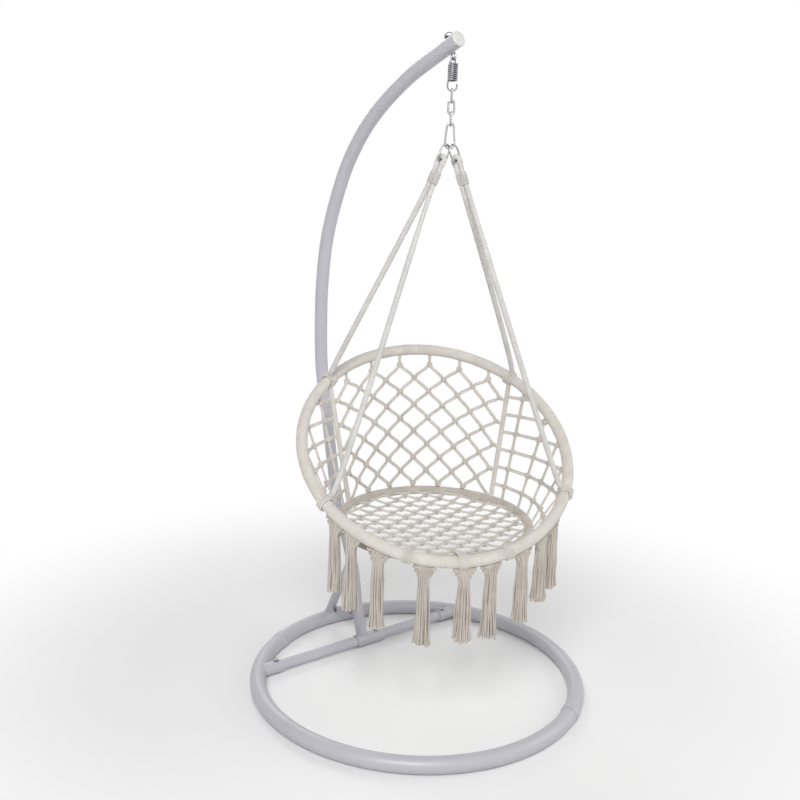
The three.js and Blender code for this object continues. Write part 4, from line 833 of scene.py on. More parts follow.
bm = bmesh.new()
nutFoot = eyeOnTube + tipUp * tip["tube"]
thick, wide, sink = tip["washerThick"], tip["washer"], tip["washerSink"]
spinProfile(bm, [(0.0, -sink), (wide - tip["washerRound"], -sink), (wide, 0.0),
                 (wide - tip["washerSlope"], thick), (0.0, thick)], nutFoot, tipUp, 48)
hexPrism(bm, nutFoot + tipUp * thick, tipUp, tip["nutCorners"], tip["nutHex"], tip["chamfer"])
domeRadius, domeTall = tip["nutCorners"] * tip["domeShare"], tip["nutDome"]
dome = [(domeRadius * cosOf(a), domeTall * sinOf(a)) for a in range(0, 90, 9)]
spinProfile(bm, [(domeRadius, -tip["domeSink"]), *dome, (0.0, domeTall)],
            nutFoot + tipUp * (thick + tip["nutHex"] - tip["domeOverlap"]), tipUp, 40)
finishPiece(bm, "eyeNut", "darkSteel", "stand", ["eye_nut"], 32)
print("hammock chair: bolts, cap and eye bolt")

# Hanger: spring, links, snap hook and rings, in the plane turned from the post's
hanger = {
    "turn": -37.5, "springWire": 0.00222, "springTop": 0.00225, "springTurns": 9, "pitch": 0.0051,
    "perTurn": 28, "coilRadius": 0.012, "hookRadius": 0.008, "hookNeck": 0.0075, "loopRadius": 0.013,
    "linkWire": 0.0029, "linkHalf": 0.0082, "linkLength": 0.0367, "linkSteps": 32, "sideSteps": 12,
    "linkWeld": 0.00045, "linkWeldReach": 0.0011, "step": 0.0009, "wideStep": 0.0011,
    "snapInset": 0.003, "snapTop": 0.0095, "snapBottom": 0.0135, "snapLength": 0.0673, "snapWire": 0.0029,
    "gateWire": 0.0026, "gateGap": 0.0003, "gateEnd": 0.003, "gateStep": 0.0007, "pin": 0.0011,
    "pinHalf": (0.0036, 0.0032), "ringWire": 0.00275, "ringRadius": 0.0195, "ringDrop": 0.025,
    "ringCorner": 0.006, "ringWeld": 0.0003, "ringWeldReach": 0.0012, "ringAcross": 0.010,
    "ringDepth": 0.006, "ringSink": 0.022, "ringTurn": 50.0, "ringLean": 16.0, "ringTilt": 13.0,
}
wireSharp = 60
hangerPlace = Matrix.Translation(plumb) @ Matrix.Rotation(math.radians(hanger["turn"]), 4, "Z")


def hung(line):
    return [hangerPlace @ Vector(p) for p in line]


def turned(radius, height, angle):
    return Vector((radius * cosOf(angle), radius * sinOf(angle), height))


def makeSpring():
    bm = bmesh.new()
    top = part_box("spring")[1][2] - hanger["springTop"]
    hookCentre = top - hanger["hookRadius"]
    coilTop = hookCentre - hanger["hookNeck"]
    turns = hanger["springTurns"] + hanger["turn"] / 360
    coilBottom = coilTop - turns * hanger["pitch"]
    loopCentre = coilBottom - hanger["loopRadius"]
    line = []
    for angle in range(-40, 181, 10):
        place = spot(hanger["hookRadius"], angle)
        line.append(turned(place.x, hookCentre + place.z, -hanger["turn"]))
    steps = round(turns * hanger["perTurn"])
    for k in range(steps + 1):
        share = k / steps
        line.append(turned(hanger["coilRadius"], coilTop - share * (coilTop - coilBottom),
                           180 - hanger["turn"] + 360 * turns * share))
    for angle in range(164, 391, 10):
        place = spot(hanger["loopRadius"], angle)
        line.append(turned(place.x, loopCentre + place.z, 0))
    smooth = evenLine(smoothLine(hung(line), 3), hanger["wideStep"])
    rollTube(bm, smooth, hanger["springWire"], 14)
    piece = finishPiece(bm, "tensionSpring", "darkSteel", None, ["spring"], wireSharp)
    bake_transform(piece)


# A ring's or link's weld: a swelling of the wire at one place
def swollen(wire, rise, weldAt, reach):
    return lambda along, around: wire + rise * math.exp(-((along - weldAt) / reach) ** 2)


# Oval link: two half rounds and straight sides, with the weld's swelling on one side
def makeLink(name, node, body):
    low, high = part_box(node)
    centre = (low[2] + high[2]) / 2
    wide, half = hanger["linkHalf"], hanger["linkLength"] / 2 - hanger["linkHalf"]
    line, steps, along = [], hanger["linkSteps"], hanger["sideSteps"]
    for turn, side in ((0, 1), (180, -1)):
        line += [spot(wide, turn + 180 * k / steps) + Vector((0, 0, side * half)) for k in range(steps + 1)]
        line += [Vector((-side * wide, 0, side * (half - 2 * half * k / along))) for k in range(1, along)]
    line.append(line[0])
    if node != "link_2":
        line = [Vector((-p.y, p.x, p.z)) for p in line]
    line = hung([p + Vector((0, 0, centre)) for p in line])
    weldAt = lengthsAlong(line)[steps + along // 2]
    swell = swollen(hanger["linkWire"], hanger["linkWeld"], weldAt, hanger["linkWeldReach"])
    bm = bmesh.new()
    rollTube(bm, evenLine(line, hanger["step"])[:-1] + [line[0]], swell, 20, closed=True)
    finishPiece(bm, name, "zinc", body, [node], wireSharp)


# A wire that thins at its two ends, each by a share and over a length
def roundedEnds(line, wire, first, last):
    total = lengthsAlong(line)[-1]
    return lambda along, around: wire * (1.0 - first[0] * math.exp(-(along / first[1]) ** 2)
                                         - last[0] * math.exp(-((total - along) / last[1]) ** 2))


def makeSnapHook():
    low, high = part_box("carabiner")
    topLine = high[2] - hanger["snapInset"]
    top, bottom = topLine - hanger["snapTop"], topLine - hanger["snapLength"] + hanger["snapBottom"]
    hinge, nose = Vector((hanger["snapBottom"], 0, bottom)), Vector((hanger["snapTop"], 0, top))
    way = (nose - hinge).normalized()
    footLift = hanger["snapWire"] + hanger["gateWire"] + hanger["gateGap"]
    gateLength = (nose - hinge).length - footLift - hanger["gateEnd"]
    line = [hinge + way * (footLift + gateLength + 0.0004), nose]
    line += [spot(hanger["snapTop"], a) + Vector((0, 0, top)) for a in range(0, 181, 8)]
    line += [spot(hanger["snapBottom"], a) + Vector((0, 0, bottom)) for a in range(180, 361, 8)]
    line.append(hinge + way * (footLift - hanger["gateWire"] - 0.0005))
    bm = bmesh.new()
    smooth = evenLine(smoothLine(hung(line), 3), hanger["step"])
    rollTube(bm, smooth, roundedEnds(smooth, hanger["snapWire"], (0.18, 0.0012), (0.12, 0.0012)), 20)
    finishPiece(bm, "snapHook", "zinc", "snap_hook", ["carabiner"], wireSharp)
    bm = bmesh.new()
    foot, end = hung([hinge + way * (footLift - 0.002), hinge + way * (footLift + gateLength)])
    gateLine = evenLine([foot, end], hanger["gateStep"])
    rollTube(bm, gateLine, roundedEnds(gateLine, hanger["gateWire"], (0.35, 0.0009), (0.1, 0.0006)), 20)
    across = (hangerPlace.to_3x3() @ Vector((0, 1, 0))).normalized()
    pin, (far, near) = hung([hinge + way * footLift])[0], hanger["pinHalf"]
    rollTube(bm, [pin + across * reach for reach in (-far, -near, near, far)], hanger["pin"], 14)
    finishPiece(bm, "snapHookGate", "zinc", "gate", ["carabiner_gate"], 40)
    return bottom


# Rope rings: round above, with a straight bar below for the rope
def ringPlaceOnHook(side, bottom):
    turn = math.radians(hanger["ringTurn"] if side < 0 else hanger["ringTurn"] + 180)
    height = bottom - hanger["ringSink"] + hanger["ringRadius"]
    place = Matrix.Translation((side * hanger["ringAcross"], side * hanger["ringDepth"], height))
    place = place @ Matrix.Rotation(turn, 4, "Z") @ Matrix.Rotation(math.radians(hanger["ringTilt"]), 4, "X")
    return (hangerPlace @ place @ Matrix.Translation((0, 0, -hanger["ringRadius"]))
            @ Matrix.Rotation(math.radians(hanger["ringLean"]), 4, "Y"))


def makeRopeRing(name, node, side, bottom):
    place = ringPlaceOnHook(side, bottom)
    round_, corner = hanger["ringRadius"], hanger["ringCorner"]
    inset, low = round_ - corner, hanger["ringDrop"] - corner
    line = [spot(round_, a) for a in range(0, 181, 6)]
    line += [Vector((-inset, 0, -low)) + spot(corner, a) for a in range(180, 271, 10)]
    line += [Vector((inset, 0, -low)) + spot(corner, a) for a in range(270, 361, 10)]
    line.append(line[0].copy())
    line = [place @ p for p in line]
    weldAt = lengthsAlong(line)[41] + 0.004
    swell = swollen(hanger["ringWire"], hanger["ringWeld"], weldAt, hanger["ringWeldReach"])
    bm = bmesh.new()
    rollTube(bm, evenLine(line, hanger["wideStep"]), swell, 18, closed=True)
    finishPiece(bm, name, "zinc", "chair", [node], wireSharp)
    return place


makeSpring()
makeLink("upperLink", "link_1", "upper_link")
makeLink("middleLink", "link_2", "middle_link")
makeLink("lowerLink", "link_3", "lower_link")
hookBottom = makeSnapHook()
sides = {"Left": -1, "Right": 1}
ringPlaces = {name: makeRopeRing(f"ropeRing{name}", f"rope_ring_{name.lower()}", side, hookBottom)
              for name, side in sides.items()}
print("hammock chair: hanger")

# Chair: two hoops wound with cord, their places worked out as angles from the front
chair = {
    "turn": -25.2, "seatHeight": 0.552, "seatRadius": 0.285, "seatTilt": 1.2, "outerRadius": 0.400,
    "incline": 35.9, "seatWrap": 0.014, "outerWrap": 0.017, "clearance": 0.002, "rise": 0.003,
    "chord": 0.9975, "rearRope": 133.0, "frontRope": 62.5, "borderSeat": 126.0, "netFrontSeat": 26.0,
    "netFrontOuter": 34.0,
}
chairPlace = Matrix.Translation(plumb) @ Matrix.Rotation(math.radians(chair["turn"]), 4, "Z")
tiltOf = {"seat": math.radians(chair["seatTilt"]), "outer": math.radians(chair["incline"])}
frontY = -chair["seatRadius"] - chair["seatWrap"] - chair["outerWrap"] - chair["clearance"]
outerHeight = (chair["seatHeight"] - chair["seatRadius"] * math.sin(tiltOf["seat"]) + chair["rise"]
               + chair["outerRadius"] * math.sin(tiltOf["outer"]))
hoops = {
    "seat": {"radius": chair["seatRadius"], "wrap": chair["seatWrap"], "tilt": tiltOf["seat"],
             "centre": Vector((0, 0, chair["seatHeight"]))},
    "outer": {"radius": chair["outerRadius"], "wrap": chair["outerWrap"], "tilt": tiltOf["outer"],
              "centre": Vector((0, frontY + chair["outerRadius"] * math.cos(tiltOf["outer"]), outerHeight))},
}


def onHoop(hoop, angle):
    radius = hoop["radius"] * chair["chord"]
    flat = Vector((radius * sinOf(angle), -radius * cosOf(angle), 0))
    return Matrix.Rotation(hoop["tilt"], 3, "X") @ flat + hoop["centre"]


def hoopWay(hoop, angle):
    flat = Vector((cosOf(angle), sinOf(angle), 0))
    return Matrix.Rotation(hoop["tilt"], 3, "X") @ flat


def inRoom(line):
    return [chairPlace @ p for p in line]


# Cord wound round a hoop: each turn stands up as a ridge, and the turns climb round the hoop as one winding
winding = {
    "pitch": 0.0043, "ridge": 0.0011, "perTurn": 5, "wander": 0.35, "wanderWaves": ((17, 0.0), (41, 1.3)),
    "unevenWaves": ((0.012, 29, 0.0), (0.010, 73, 2.0)),
}


def ridgeRadius(outer, phase):
    share = (phase / fullTurn) % 1.0
    return outer - winding["ridge"] * (1.0 - math.sqrt(max(0.0, 1.0 - (2 * share - 1) ** 2)))


def makeHoopWrap(name, node, hoop, sideCount):
    length = fullTurn * hoop["radius"]
    turns = round(length / winding["pitch"])
    steps = turns * winding["perTurn"]
    line = inRoom([onHoop(hoop, 180 + 360 * (k % steps) / steps) for k in range(steps + 1)])
    total = lengthsAlong(line)[-1]

    def woundRadius(along, around):
        share = along / total
        wander = sum(math.sin(fullTurn * waves * share + start) for waves, start in winding["wanderWaves"])
        uneven = 1.0 + sum(rise * math.sin(fullTurn * waves * share + start)
                           for rise, waves, start in winding["unevenWaves"])
        phase = fullTurn * turns * share + around + winding["wander"] * wander
        return ridgeRadius(hoop["wrap"] * uneven, phase)

    bm = bmesh.new()
    rollTube(bm, line, woundRadius, sideCount, closed=True)
    finishPiece(bm, name, "beigeCotton" if node.startswith("seat") else "ivoryCotton", "chair", [node])


makeHoopWrap("seatHoopWrap", "seat_hoop_wrap", hoops["seat"], 20)
makeHoopWrap("outerHoopWrap", "outer_hoop_wrap", hoops["outer"], 22)
for node in ("seat_hoop_core", "outer_hoop_core"):
    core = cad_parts[node]
    core.data.materials.clear()
    core.data.materials.append(materials["darkSteel"])
print("hammock chair: hoops")

# Cords: plied strands, plaited ropes and coils wound round something
coil = {"step": 0.0016, "layShare": 4.2, "knotPerTurn": 10, "knotTurns": 2.6, "knotHalf": 0.0016}


def plied(radius, lay, plies=3, depth=0.16, start=0.0):
    def radiusAt(along, around):
        lobe = abs(math.cos(plies / 2 * (around - fullTurn * along / lay + start)))
        return radius * (1.0 - depth + depth * lobe)
    return radiusAt


def plaited(radius, count=3, lay=0.021, depth=0.1):
    def radiusAt(along, around):
        twist = fullTurn * along / (lay * count)
        stitch = abs(math.sin(count * (around + twist)) * math.sin(count * (around - twist)))
        return radius * (1.0 - depth + depth * math.sqrt(stitch))
    return radiusAt


# A coil round a round or oval core: centres are one or two points that the core goes round
def coilLine(centres, axis, length, radius, turns, perTurn=22, phase=0.0):
    axis = axis.normalized()
    first, last = centres[0], centres[-1]
    apart = last - first
    apart -= apart.dot(axis) * axis
    side = apart.normalized() if apart.length > 1e-6 else axis.orthogonal().normalized()
    other = axis.cross(side)
    line = []
    for k in range(round(turns * perTurn) + 1):
        angle = phase + fullTurn * k / perTurn
        along = axis * (length * (k / (turns * perTurn) - 0.5))
        outward = side * math.cos(angle) + other * math.sin(angle)
        base = last if math.cos(angle) > 0 else first
        if abs(math.cos(angle)) < 1e-6:
            base = (first + last) / 2
        line.append(base + along + outward * radius)
    return line


def coilInto(bm, centres, axis, length, core, wire, turns, phase=0.0, sideCount=10):
    line = coilLine(centres, axis, length - 2 * wire, core + wire, turns, phase=phase)
    smooth = evenLine(smoothLine(inRoom(line), 2), coil["step"])
    rollTube(bm, smooth, plied(wire, wire * coil["layShare"]), sideCount)


# A small knot: a short coil of plain cord round a flat core, with a start angle of its own
def coilKnot(bm, place, apart, axis, length, radius, wire):
    half = apart * coil["knotHalf"]
    line = coilLine([place - half, place + half], axis, length, radius, coil["knotTurns"],
                    perTurn=coil["knotPerTurn"], phase=random.uniform(0, fullTurn))
    rollTube(bm, smoothLine(inRoom(line), 1), wire, 6)


# Knots and lashings wound round the outer hoop
ties = {
    "ropeKnot": {"length": 0.030, "wire": 0.0037, "turns": 3.1},
    "lashing": {"length": 0.028, "wire": 0.0025, "turns": 4.6},
    "lashingAngles": {"lashingLeft": -22.0, "lashingRight": 19.5},
    "front": {"length": 0.028, "wire": 0.0025, "turns": 5.5, "squeeze": 0.0005, "phase": 1.2},
}


def hoopTie(name, node, angle, values):
    hoop = hoops["outer"]
    bm = bmesh.new()
    coilInto(bm, [onHoop(hoop, angle)], hoopWay(hoop, angle), values["length"], hoop["wrap"], values["wire"],
             values["turns"], sideCount=12)
    finishPiece(bm, name, "ivoryCotton", "chair", [node])


for name, side in sides.items():
    for end, angle in (("Rear", chair["rearRope"]), ("Front", chair["frontRope"])):
        node = f"rope_knot_{end.lower()}_{name.lower()}"
        hoopTie(f"ropeKnot{end}{name}", node, side * angle, ties["ropeKnot"])
for name, angle in ties["lashingAngles"].items():
    hoopTie(name, "lashing_left" if angle < 0 else "lashing_right", angle, ties["lashing"])

bm = bmesh.new()
frontTie = ties["front"]
outerFront, seatFront = onHoop(hoops["outer"], 0), onHoop(hoops["seat"], 0)
coilInto(bm, [outerFront, seatFront], Vector((1, 0, 0)), frontTie["length"],
         chair["outerWrap"] - frontTie["squeeze"], frontTie["wire"], frontTie["turns"],
         phase=frontTie["phase"], sideCount=12)
finishPiece(bm, "frontLashing", "ivoryCotton", "chair", ["front_lashing"])

# Suspension ropes: each folds over the bar of its ring and comes down to two knots on the outer hoop
rope = {
    "radius": 0.0069, "legRadius": 0.0083, "solidRadius": 0.007, "barRadius": 0.0028, "bend": 1.03,
    "gap": 0.0003, "strandGap": 0.0008, "whipFrom": 0.034, "whipLength": 0.036, "whipTurns": 10.5,
    "whipWire": 0.0016, "lead": 0.014, "footShare": 0.7, "knotWall": 0.0075, "step": 0.0016,
}


def makeRope(name, side):
    place = chairPlace.inverted() @ ringPlaces[name]
    bar = place @ Vector((0, 0, -hanger["ringDrop"]))
    barWay = (place.to_3x3() @ Vector((1, 0, 0))).normalized()
    rearAngle, frontAngle = side * chair["rearRope"], side * chair["frontRope"]
    outer = hoops["outer"]
    down = ((onHoop(outer, rearAngle) + onHoop(outer, frontAngle)) / 2 - bar).normalized()
    across = barWay.cross(down).normalized()
    if across.y < 0:
        across.negate()
    beside = rope["solidRadius"] + rope["strandGap"] / 2
    fold = (rope["barRadius"] + rope["solidRadius"] + rope["gap"]) * rope["bend"]
    whipEnd = rope["whipFrom"] + rope["whipLength"]

    def strandPlace(along, apart):
        return bar + down * along + across * apart

    def lead(angle, aimAt):
        foot, way = onHoop(outer, angle), hoopWay(outer, angle)
        away = aimAt - foot
        away = (away - away.dot(way) * way).normalized()
        first = foot + away * (outer["wrap"] * rope["footShare"])
        start = foot + away * (outer["wrap"] + rope["knotWall"] + rope["gap"])
        return [first, start, start + away * rope["lead"]]

    below, above = whipEnd + rope["lead"] / 2, rope["whipFrom"] - rope["lead"] / 2
    line = lead(rearAngle, strandPlace(whipEnd, beside))
    line += [strandPlace(below, beside), strandPlace(above, beside)]
    line += [strandPlace(-fold * sinOf(k * 22.5), fold * cosOf(k * 22.5)) for k in range(9)]
    line += [strandPlace(above, -beside), strandPlace(below, -beside)]
    line += reversed(lead(frontAngle, strandPlace(whipEnd, -beside)))
    smooth = evenLine(smoothLine(inRoom(line), 10), rope["step"])
    half, woven = lengthsAlong(smooth)[-1] / 2, plaited(1.0)

    def ropeRadius(along, around):
        share = max(0.0, min(1.0, (abs(along - half) - whipEnd - fold) / (2 * rope["whipLength"])))
        return woven(along, around) * (rope["radius"] + (rope["legRadius"] - rope["radius"]) * share)

    bm = bmesh.new()
    rollTube(bm, smooth, ropeRadius, 30)
    finishPiece(bm, f"rope{name}", "ropeCotton", "chair", [f"rope_{name.lower()}"])
    bm = bmesh.new()
    middle = strandPlace(rope["whipFrom"] + rope["whipLength"] / 2, 0)
    coilInto(bm, [middle - across * beside, middle + across * beside], down, rope["whipLength"],
             rope["radius"], rope["whipWire"], rope["whipTurns"], sideCount=8)
    finishPiece(bm, f"whipping{name}", "ropeCotton", "chair", [f"whipping_{name.lower()}"])


for name, side in sides.items():
    makeRope(name, side)
print("hammock chair: ropes and ties")

# Nets: pairs of plied cords between knots. A knot is a short coil round the crossing
net = {
    "columns": 6, "rows": 10, "strand": 0.010, "thick": 0.005, "gap": 0.0003, "rowRise": 0.055,
    "seatPitch": 0.070, "seatSag": 0.012, "border": 0.008, "bow": 0.3, "handle": 0.36, "strandSteps": 14,
    "knotWire": 0.0026, "knotCore": 0.0036, "knotLength": 0.0175, "knotSizes": (0.93, 1.07), "step": 0.0022,
    "cordRadius": 0.0027, "lay": 0.014, "apart": 0.0028, "pinch": 0.4, "normalStep": 0.02,
}


class CordNet:
    def __init__(self):
        self.knots, self.strands = [], []

    def knot(self, point, normal, up, tied=False):
        made = {"point": point, "normal": normal.normalized(), "up": up.normalized(), "tied": tied}
        self.knots.append(made)
        return len(self.knots) - 1

    def onFace(self, face, u, v, tied=False):
        return self.knot(face["at"](u, v), face["normal"](u, v), face["up"](u), tied)

    def strand(self, first, last, bow=0.0):
        self.strands.append((first, last, bow))

    def strandLine(self, first, last, bow):
        a, b = self.knots[first], self.knots[last]
        way = b["point"] - a["point"]
        length = way.length
        way.normalize()

        def handle(knot, towards):
            lean = knot["up"] * (bow if knot["up"].dot(towards) > 0 else -bow)
            return (towards + lean).normalized() if not knot["tied"] else towards

        one, two = handle(a, way), handle(b, -way)
        p0, p3 = a["point"], b["point"]
        p1, p2 = p0 + one * length * net["handle"], p3 + two * length * net["handle"]
        return [p0 * (1 - t)**3 + p1 * 3 * t * (1 - t)**2 + p2 * 3 * t**2 * (1 - t) + p3 * t**3
                for t in (k / net["strandSteps"] for k in range(net["strandSteps"] + 1))]

    def pairLine(self, line, normal, side):
        places, last = [], len(line) - 1
        for i, place in enumerate(line):
            way = line[min(i + 1, last)] - line[max(i - 1, 0)]
            fromEnd = min(i, last - i) * net["step"] / net["knotLength"]
            apart = net["apart"] * min(net["pinch"] + fromEnd, 1.0)
            places.append(place + way.cross(normal).normalized() * (side * apart))
        return places

    def build(self, name, node, material):
        bm = bmesh.new()
        for first, last, bow in self.strands:
            line = evenLine(self.strandLine(first, last, bow), net["step"])
            for side in (-1, 1):
                start = random.uniform(0, fullTurn)
                pair = self.pairLine(line, self.knots[first]["normal"], side)
                rollTube(bm, inRoom(pair), plied(net["cordRadius"], net["lay"], start=start), 8)
        for knot in self.knots:
            if knot["tied"]:
                continue
            size, wire = random.uniform(*net["knotSizes"]), net["knotWire"]
            coilKnot(bm, knot["point"], knot["up"].cross(knot["normal"]), knot["up"],
                     (net["knotLength"] - 2 * wire) * size, (net["knotCore"] + wire) * size, wire * size)
        finishPiece(bm, name, material, "chair", [node])


def ruledFace(seatAngles, outerAngles):
    def blendOf(pair, u):
        return pair[0] + (pair[1] - pair[0]) * u

    def seatAt(u):
        return onHoop(hoops["seat"], blendOf(seatAngles, u))

    def outerAt(u):
        return onHoop(hoops["outer"], blendOf(outerAngles, u))

    def at(u, v):
        return seatAt(u).lerp(outerAt(u), v)

    def normal(u, v):
        across = at(u + net["normalStep"], v) - at(u - net["normalStep"], v)
        return across.cross(outerAt(u) - seatAt(u)).normalized()

    def up(u):
        return (outerAt(u) - seatAt(u)).normalized()
    return {"at": at, "normal": normal, "up": up, "seatAt": seatAt, "outerAt": outerAt}


def makeBackNet():
    made = CordNet()
    face = ruledFace((360 - chair["borderSeat"], chair["borderSeat"]),
                     (360 - chair["rearRope"], chair["rearRope"]))
    height = (face["outerAt"](0.5) - face["seatAt"](0.5)).length
    low = (chair["seatWrap"] + net["gap"] + net["strand"]) / height
    high = 1 - (chair["outerWrap"] + 3 * net["strand"]) / height
    width = (face["at"](0, 0.5) - face["at"](1, 0.5)).length
    inset = (net["border"] + net["gap"] + net["strand"] + net["thick"] / 2) / width
    columns, rows = net["columns"], []
    for row in range(net["rows"]):
        odd = row % 2 == 1
        v = low + (high - low) * row / (net["rows"] - 1)
        shares = [(i + 0.5 * odd) / columns for i in range(columns + 1 - odd)]
        knots = []
        for share in shares:
            corner = row == 0 and share in (0, 1)
            u = share if corner else inset + (1 - 2 * inset) * share
            knots.append(made.onFace(face, u, 0 if corner else v, tied=corner))
            if share in (0, 1) and not corner:
                made.strand(knots[-1], made.onFace(face, share, v, tied=True))
        rows.append(knots)
        if row > 0:
            wide, narrow = (rows[row - 1], rows[row]) if odd else (rows[row], rows[row - 1])
            for i, knot in enumerate(narrow):
                made.strand(knot, wide[i], net["bow"])
                made.strand(knot, wide[i + 1], net["bow"])
    for i, knot in enumerate(rows[0]):
        if not made.knots[knot]["tied"]:
            u = inset + (1 - 2 * inset) * i / columns
            made.strand(knot, made.onFace(face, u, 0, tied=True))
    for i, knot in enumerate(rows[-1]):
        u = inset + (1 - 2 * inset) * (i + 0.5) / columns
        made.strand(knot, made.onFace(face, u, 1, tied=True))
    made.build("backNet", "back_net", "ivoryCotton")


def makeSideNet(name, node, side):
    made = CordNet()
    face = ruledFace((side * chair["netFrontSeat"], side * chair["borderSeat"]),
                     (side * chair["netFrontOuter"], side * chair["rearRope"]))
    outer = hoops["outer"]
    rise = outer["radius"] * math.sin(outer["tilt"])
    shares, heights = [], []
    height = chair["seatHeight"] + net["rowRise"]
    while height < outer["centre"].z + rise:
        angle = math.degrees(math.acos((outer["centre"].z - height) / rise))
        if angle > chair["rearRope"] - net["rowRise"] * 180 / (3 * math.pi * outer["radius"]):
            break
        heights.append(height)
        shares.append((angle - chair["netFrontOuter"]) / (chair["rearRope"] - chair["netFrontOuter"]))
        height += net["rowRise"]
    columnShares = [(a + b) / 2 for a, b in zip(shares, shares[1:] + [1.0])]

    def heightShare(u, level):
        low, high = face["seatAt"](u).z, face["outerAt"](u).z
        return (level - low) / (high - low)

    def knotAt(u, level, tied=False):
        return made.onFace(face, u, heightShare(u, level), tied)

    columns = [[made.onFace(face, u, 0, tied=True)] for u in columnShares]
    for row, level in enumerate(heights):
        last = knotAt(shares[row], level, tied=True)
        for i, u in enumerate(columnShares[row:]):
            knot = knotAt(u, level)
            made.strand(last, knot)
            columns[row + i].append(knot)
            last = knot
        made.strand(last, knotAt(1.0, level, tied=True))
    for u, column in zip(columnShares, columns):
        column.append(made.onFace(face, u, 1, tied=True))
        for first, last in zip(column, column[1:]):
            made.strand(first, last)
    made.build(name, node, "ivoryCotton")


def makeSeatNet():
    made = CordNet()
    seat = hoops["seat"]
    tilt = Matrix.Rotation(seat["tilt"], 3, "X")
    normal, up = tilt @ Vector((0, 0, 1)), tilt @ Vector((0, 1, 0))
    half = net["seatPitch"] / 2
    limit = seat["radius"] - seat["wrap"] - 2 * net["strand"]
    count = math.ceil(2 * seat["radius"] / net["seatPitch"]) + 1
    kept = {}
    for i in range(-count, count + 1):
        for j in range(-count, count + 1):
            reach = math.hypot(i * half, j * half)
            if (i + j) % 2 == 0 and reach < limit:
                sag = net["seatSag"] * (1 - (reach / seat["radius"]) ** 2)
                kept[i, j] = made.knot(tilt @ Vector((i * half, j * half, -sag)) + seat["centre"], normal, up)
    for (i, j), knot in kept.items():
        for di, dj in ((1, 1), (1, -1), (-1, 1), (-1, -1)):
            other = kept.get((i + di, j + dj))
            if other is not None and other > knot:
                made.strand(knot, other, net["bow"])
            if other is None:
                start, way = Vector((i * half, j * half)), Vector((di, dj)).normalized()
                middle = start.dot(way)
                reach = -middle + math.sqrt(middle**2 + seat["radius"] ** 2 - start.length_squared)
                end = start + way * reach
                tied = made.knot(tilt @ Vector((end.x, end.y, 0)) + seat["centre"], normal, up, tied=True)
                made.strand(knot, tied, net["bow"])
    made.build("seatNet", "seat_net", "ivoryCotton")


def makeBorders():
    for name, side in sides.items():
        low = onHoop(hoops["seat"], side * chair["borderSeat"])
        high = onHoop(hoops["outer"], side * chair["rearRope"])
        bm = bmesh.new()
        rollTube(bm, inRoom(evenLine([low, high], 0.0016)), plaited(net["border"], 2, 0.02, 0.16), 22)
        finishPiece(bm, f"borderStrand{name}", "ivoryCotton", "chair", [f"border_strand_{name.lower()}"])


makeBackNet()
makeSideNet("leftNet", "left_net", -1)
makeSideNet("rightNet", "right_net", 1)
makeSeatNet()
makeBorders()
print("hammock chair: nets")

# Fringe: each tassel is a triangle of knots under the hoop and a bundle of plied cords that hang down from it
tassel = {
    "topWidth": 0.060, "cord": 0.0027, "lay": 0.016, "cords": 30, "step": 0.003, "neck": 0.0155,
    "rootShare": 0.75, "spreads": (0.86, 1.0), "lengths": (0.955, 1.0), "depthShare": 0.85,
    "frayLength": 0.010,
    "sizes": [(-55.5, 0.212, 0.048), (-46.5, 0.222, 0.058), (-34, 0.228, 0.058), (-15, 0.231, 0.062),
              (1, 0.217, 0.066), (12.2, 0.220, 0.062), (27.5, 0.213, 0.060), (39, 0.196, 0.056),
              (48, 0.200, 0.054)],
    "flare": [(0.16, 0.0), (0.38, 0.2), (0.6, 0.35), (0.85, 0.6), (1.0, 1.0)], "fray": 0.0012, "sway": 0.0024,
    "knotRows": [(5, 0.006), (4, 0.016), (3, 0.026)], "knotWire": 0.0024, "knotCore": 0.0026,
    "knotLength": 0.0078, "knotSizes": (0.92, 1.08), "knotOut": (0.001, 0.003),
}


def frayed(radius, lay, total, start):
    body = plied(radius, lay, start=start)

    def radiusAt(along, around):
        left = total - along
        flare = tassel["fray"] * math.exp(-(left / tassel["frayLength"]) ** 2)
        return body(along, around) + flare * (0.7 + 0.3 * math.cos(5 * around + start))
    return radiusAt


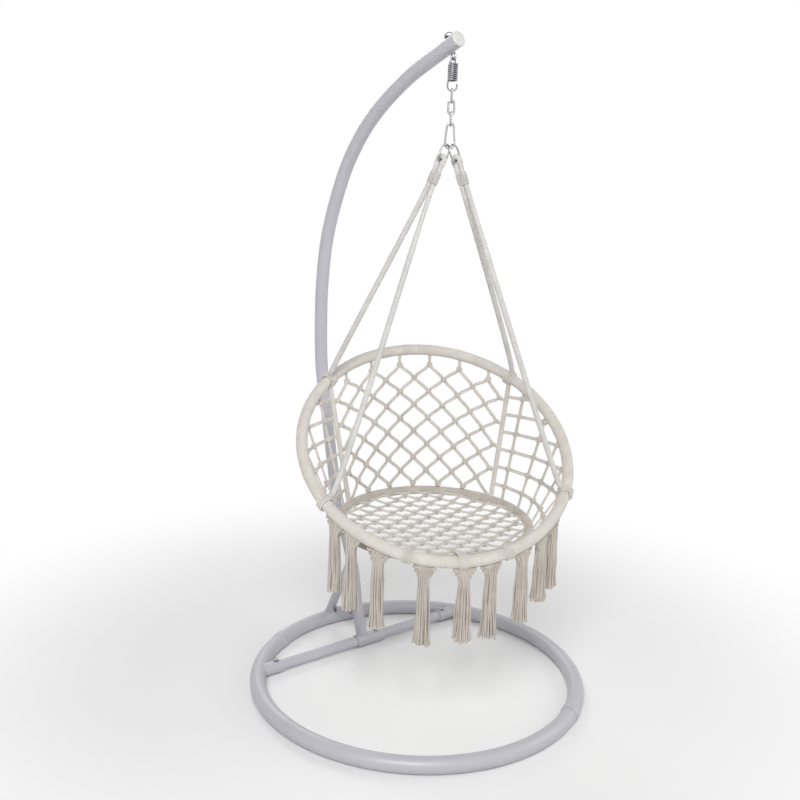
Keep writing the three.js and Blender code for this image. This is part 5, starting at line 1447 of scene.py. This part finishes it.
def makeTassel(number, angle, length, width):
    bm = bmesh.new()
    hoop = hoops["outer"]
    downWay = Vector((0, 0, -1))
    outward = Vector((sinOf(angle), -cosOf(angle), 0))
    along = hoopWay(hoop, angle)
    level = Vector((along.x, along.y, 0)).normalized()
    middle = onHoop(hoop, angle)
    halfAngle = math.degrees(tassel["topWidth"] / 2 / hoop["radius"])
    for k in range(tassel["cords"]):
        share = math.sqrt((k + 0.5) / tassel["cords"])
        around = k * goldenTurn
        x, y = share * math.cos(around), share * math.sin(around)
        depth = hoop["wrap"] * tassel["rootShare"]
        sink = math.sqrt(depth**2 - (y * depth / 2) ** 2)
        top = onHoop(hoop, angle + x * halfAngle) + downWay * sink + outward * (y * depth / 2)
        lean, tuck = random.uniform(-1, 1) * tassel["sway"], random.uniform(-1, 1) * tassel["sway"]
        spread = random.uniform(*tassel["spreads"]) * width / 2 - tassel["cord"]
        own = length * random.uniform(*tassel["lengths"])
        points = [top]
        for drop, wide in tassel["flare"]:
            radius = tassel["neck"] + (spread - tassel["neck"]) * wide
            waver = math.sin(drop * 7 + around) * min(drop * 2, 1)
            place = middle + downWay * (hoop["wrap"] + own * drop)
            place += level * (x * radius + lean * waver)
            place += outward * (y * radius * tassel["depthShare"] + tuck * waver)
            points.append(place)
        line = evenLine(smoothLine(inRoom(points), 8), tassel["step"])
        total = lengthsAlong(line)[-1]
        rollTube(bm, line, frayed(tassel["cord"], tassel["lay"], total, around), 8)
    for count, drop in tassel["knotRows"]:
        for k in range(count):
            share = (k - (count - 1) / 2) / tassel["knotRows"][0][0] * 2
            foot = onHoop(hoop, angle + share * halfAngle)
            place = foot + downWay * (hoop["wrap"] + drop) + outward * random.uniform(*tassel["knotOut"])
            size, wire = random.uniform(*tassel["knotSizes"]), tassel["knotWire"]
            coilKnot(bm, place, level, downWay, tassel["knotLength"], (tassel["knotCore"] + wire) * size,
                     wire * size)
    finishPiece(bm, f"tassel{number}", "beigeCotton", "chair", [f"tassel_{number}"])


for number, (angle, length, width) in enumerate(tassel["sizes"], 1):
    makeTassel(number, angle, length, width)
print("hammock chair: fringe")
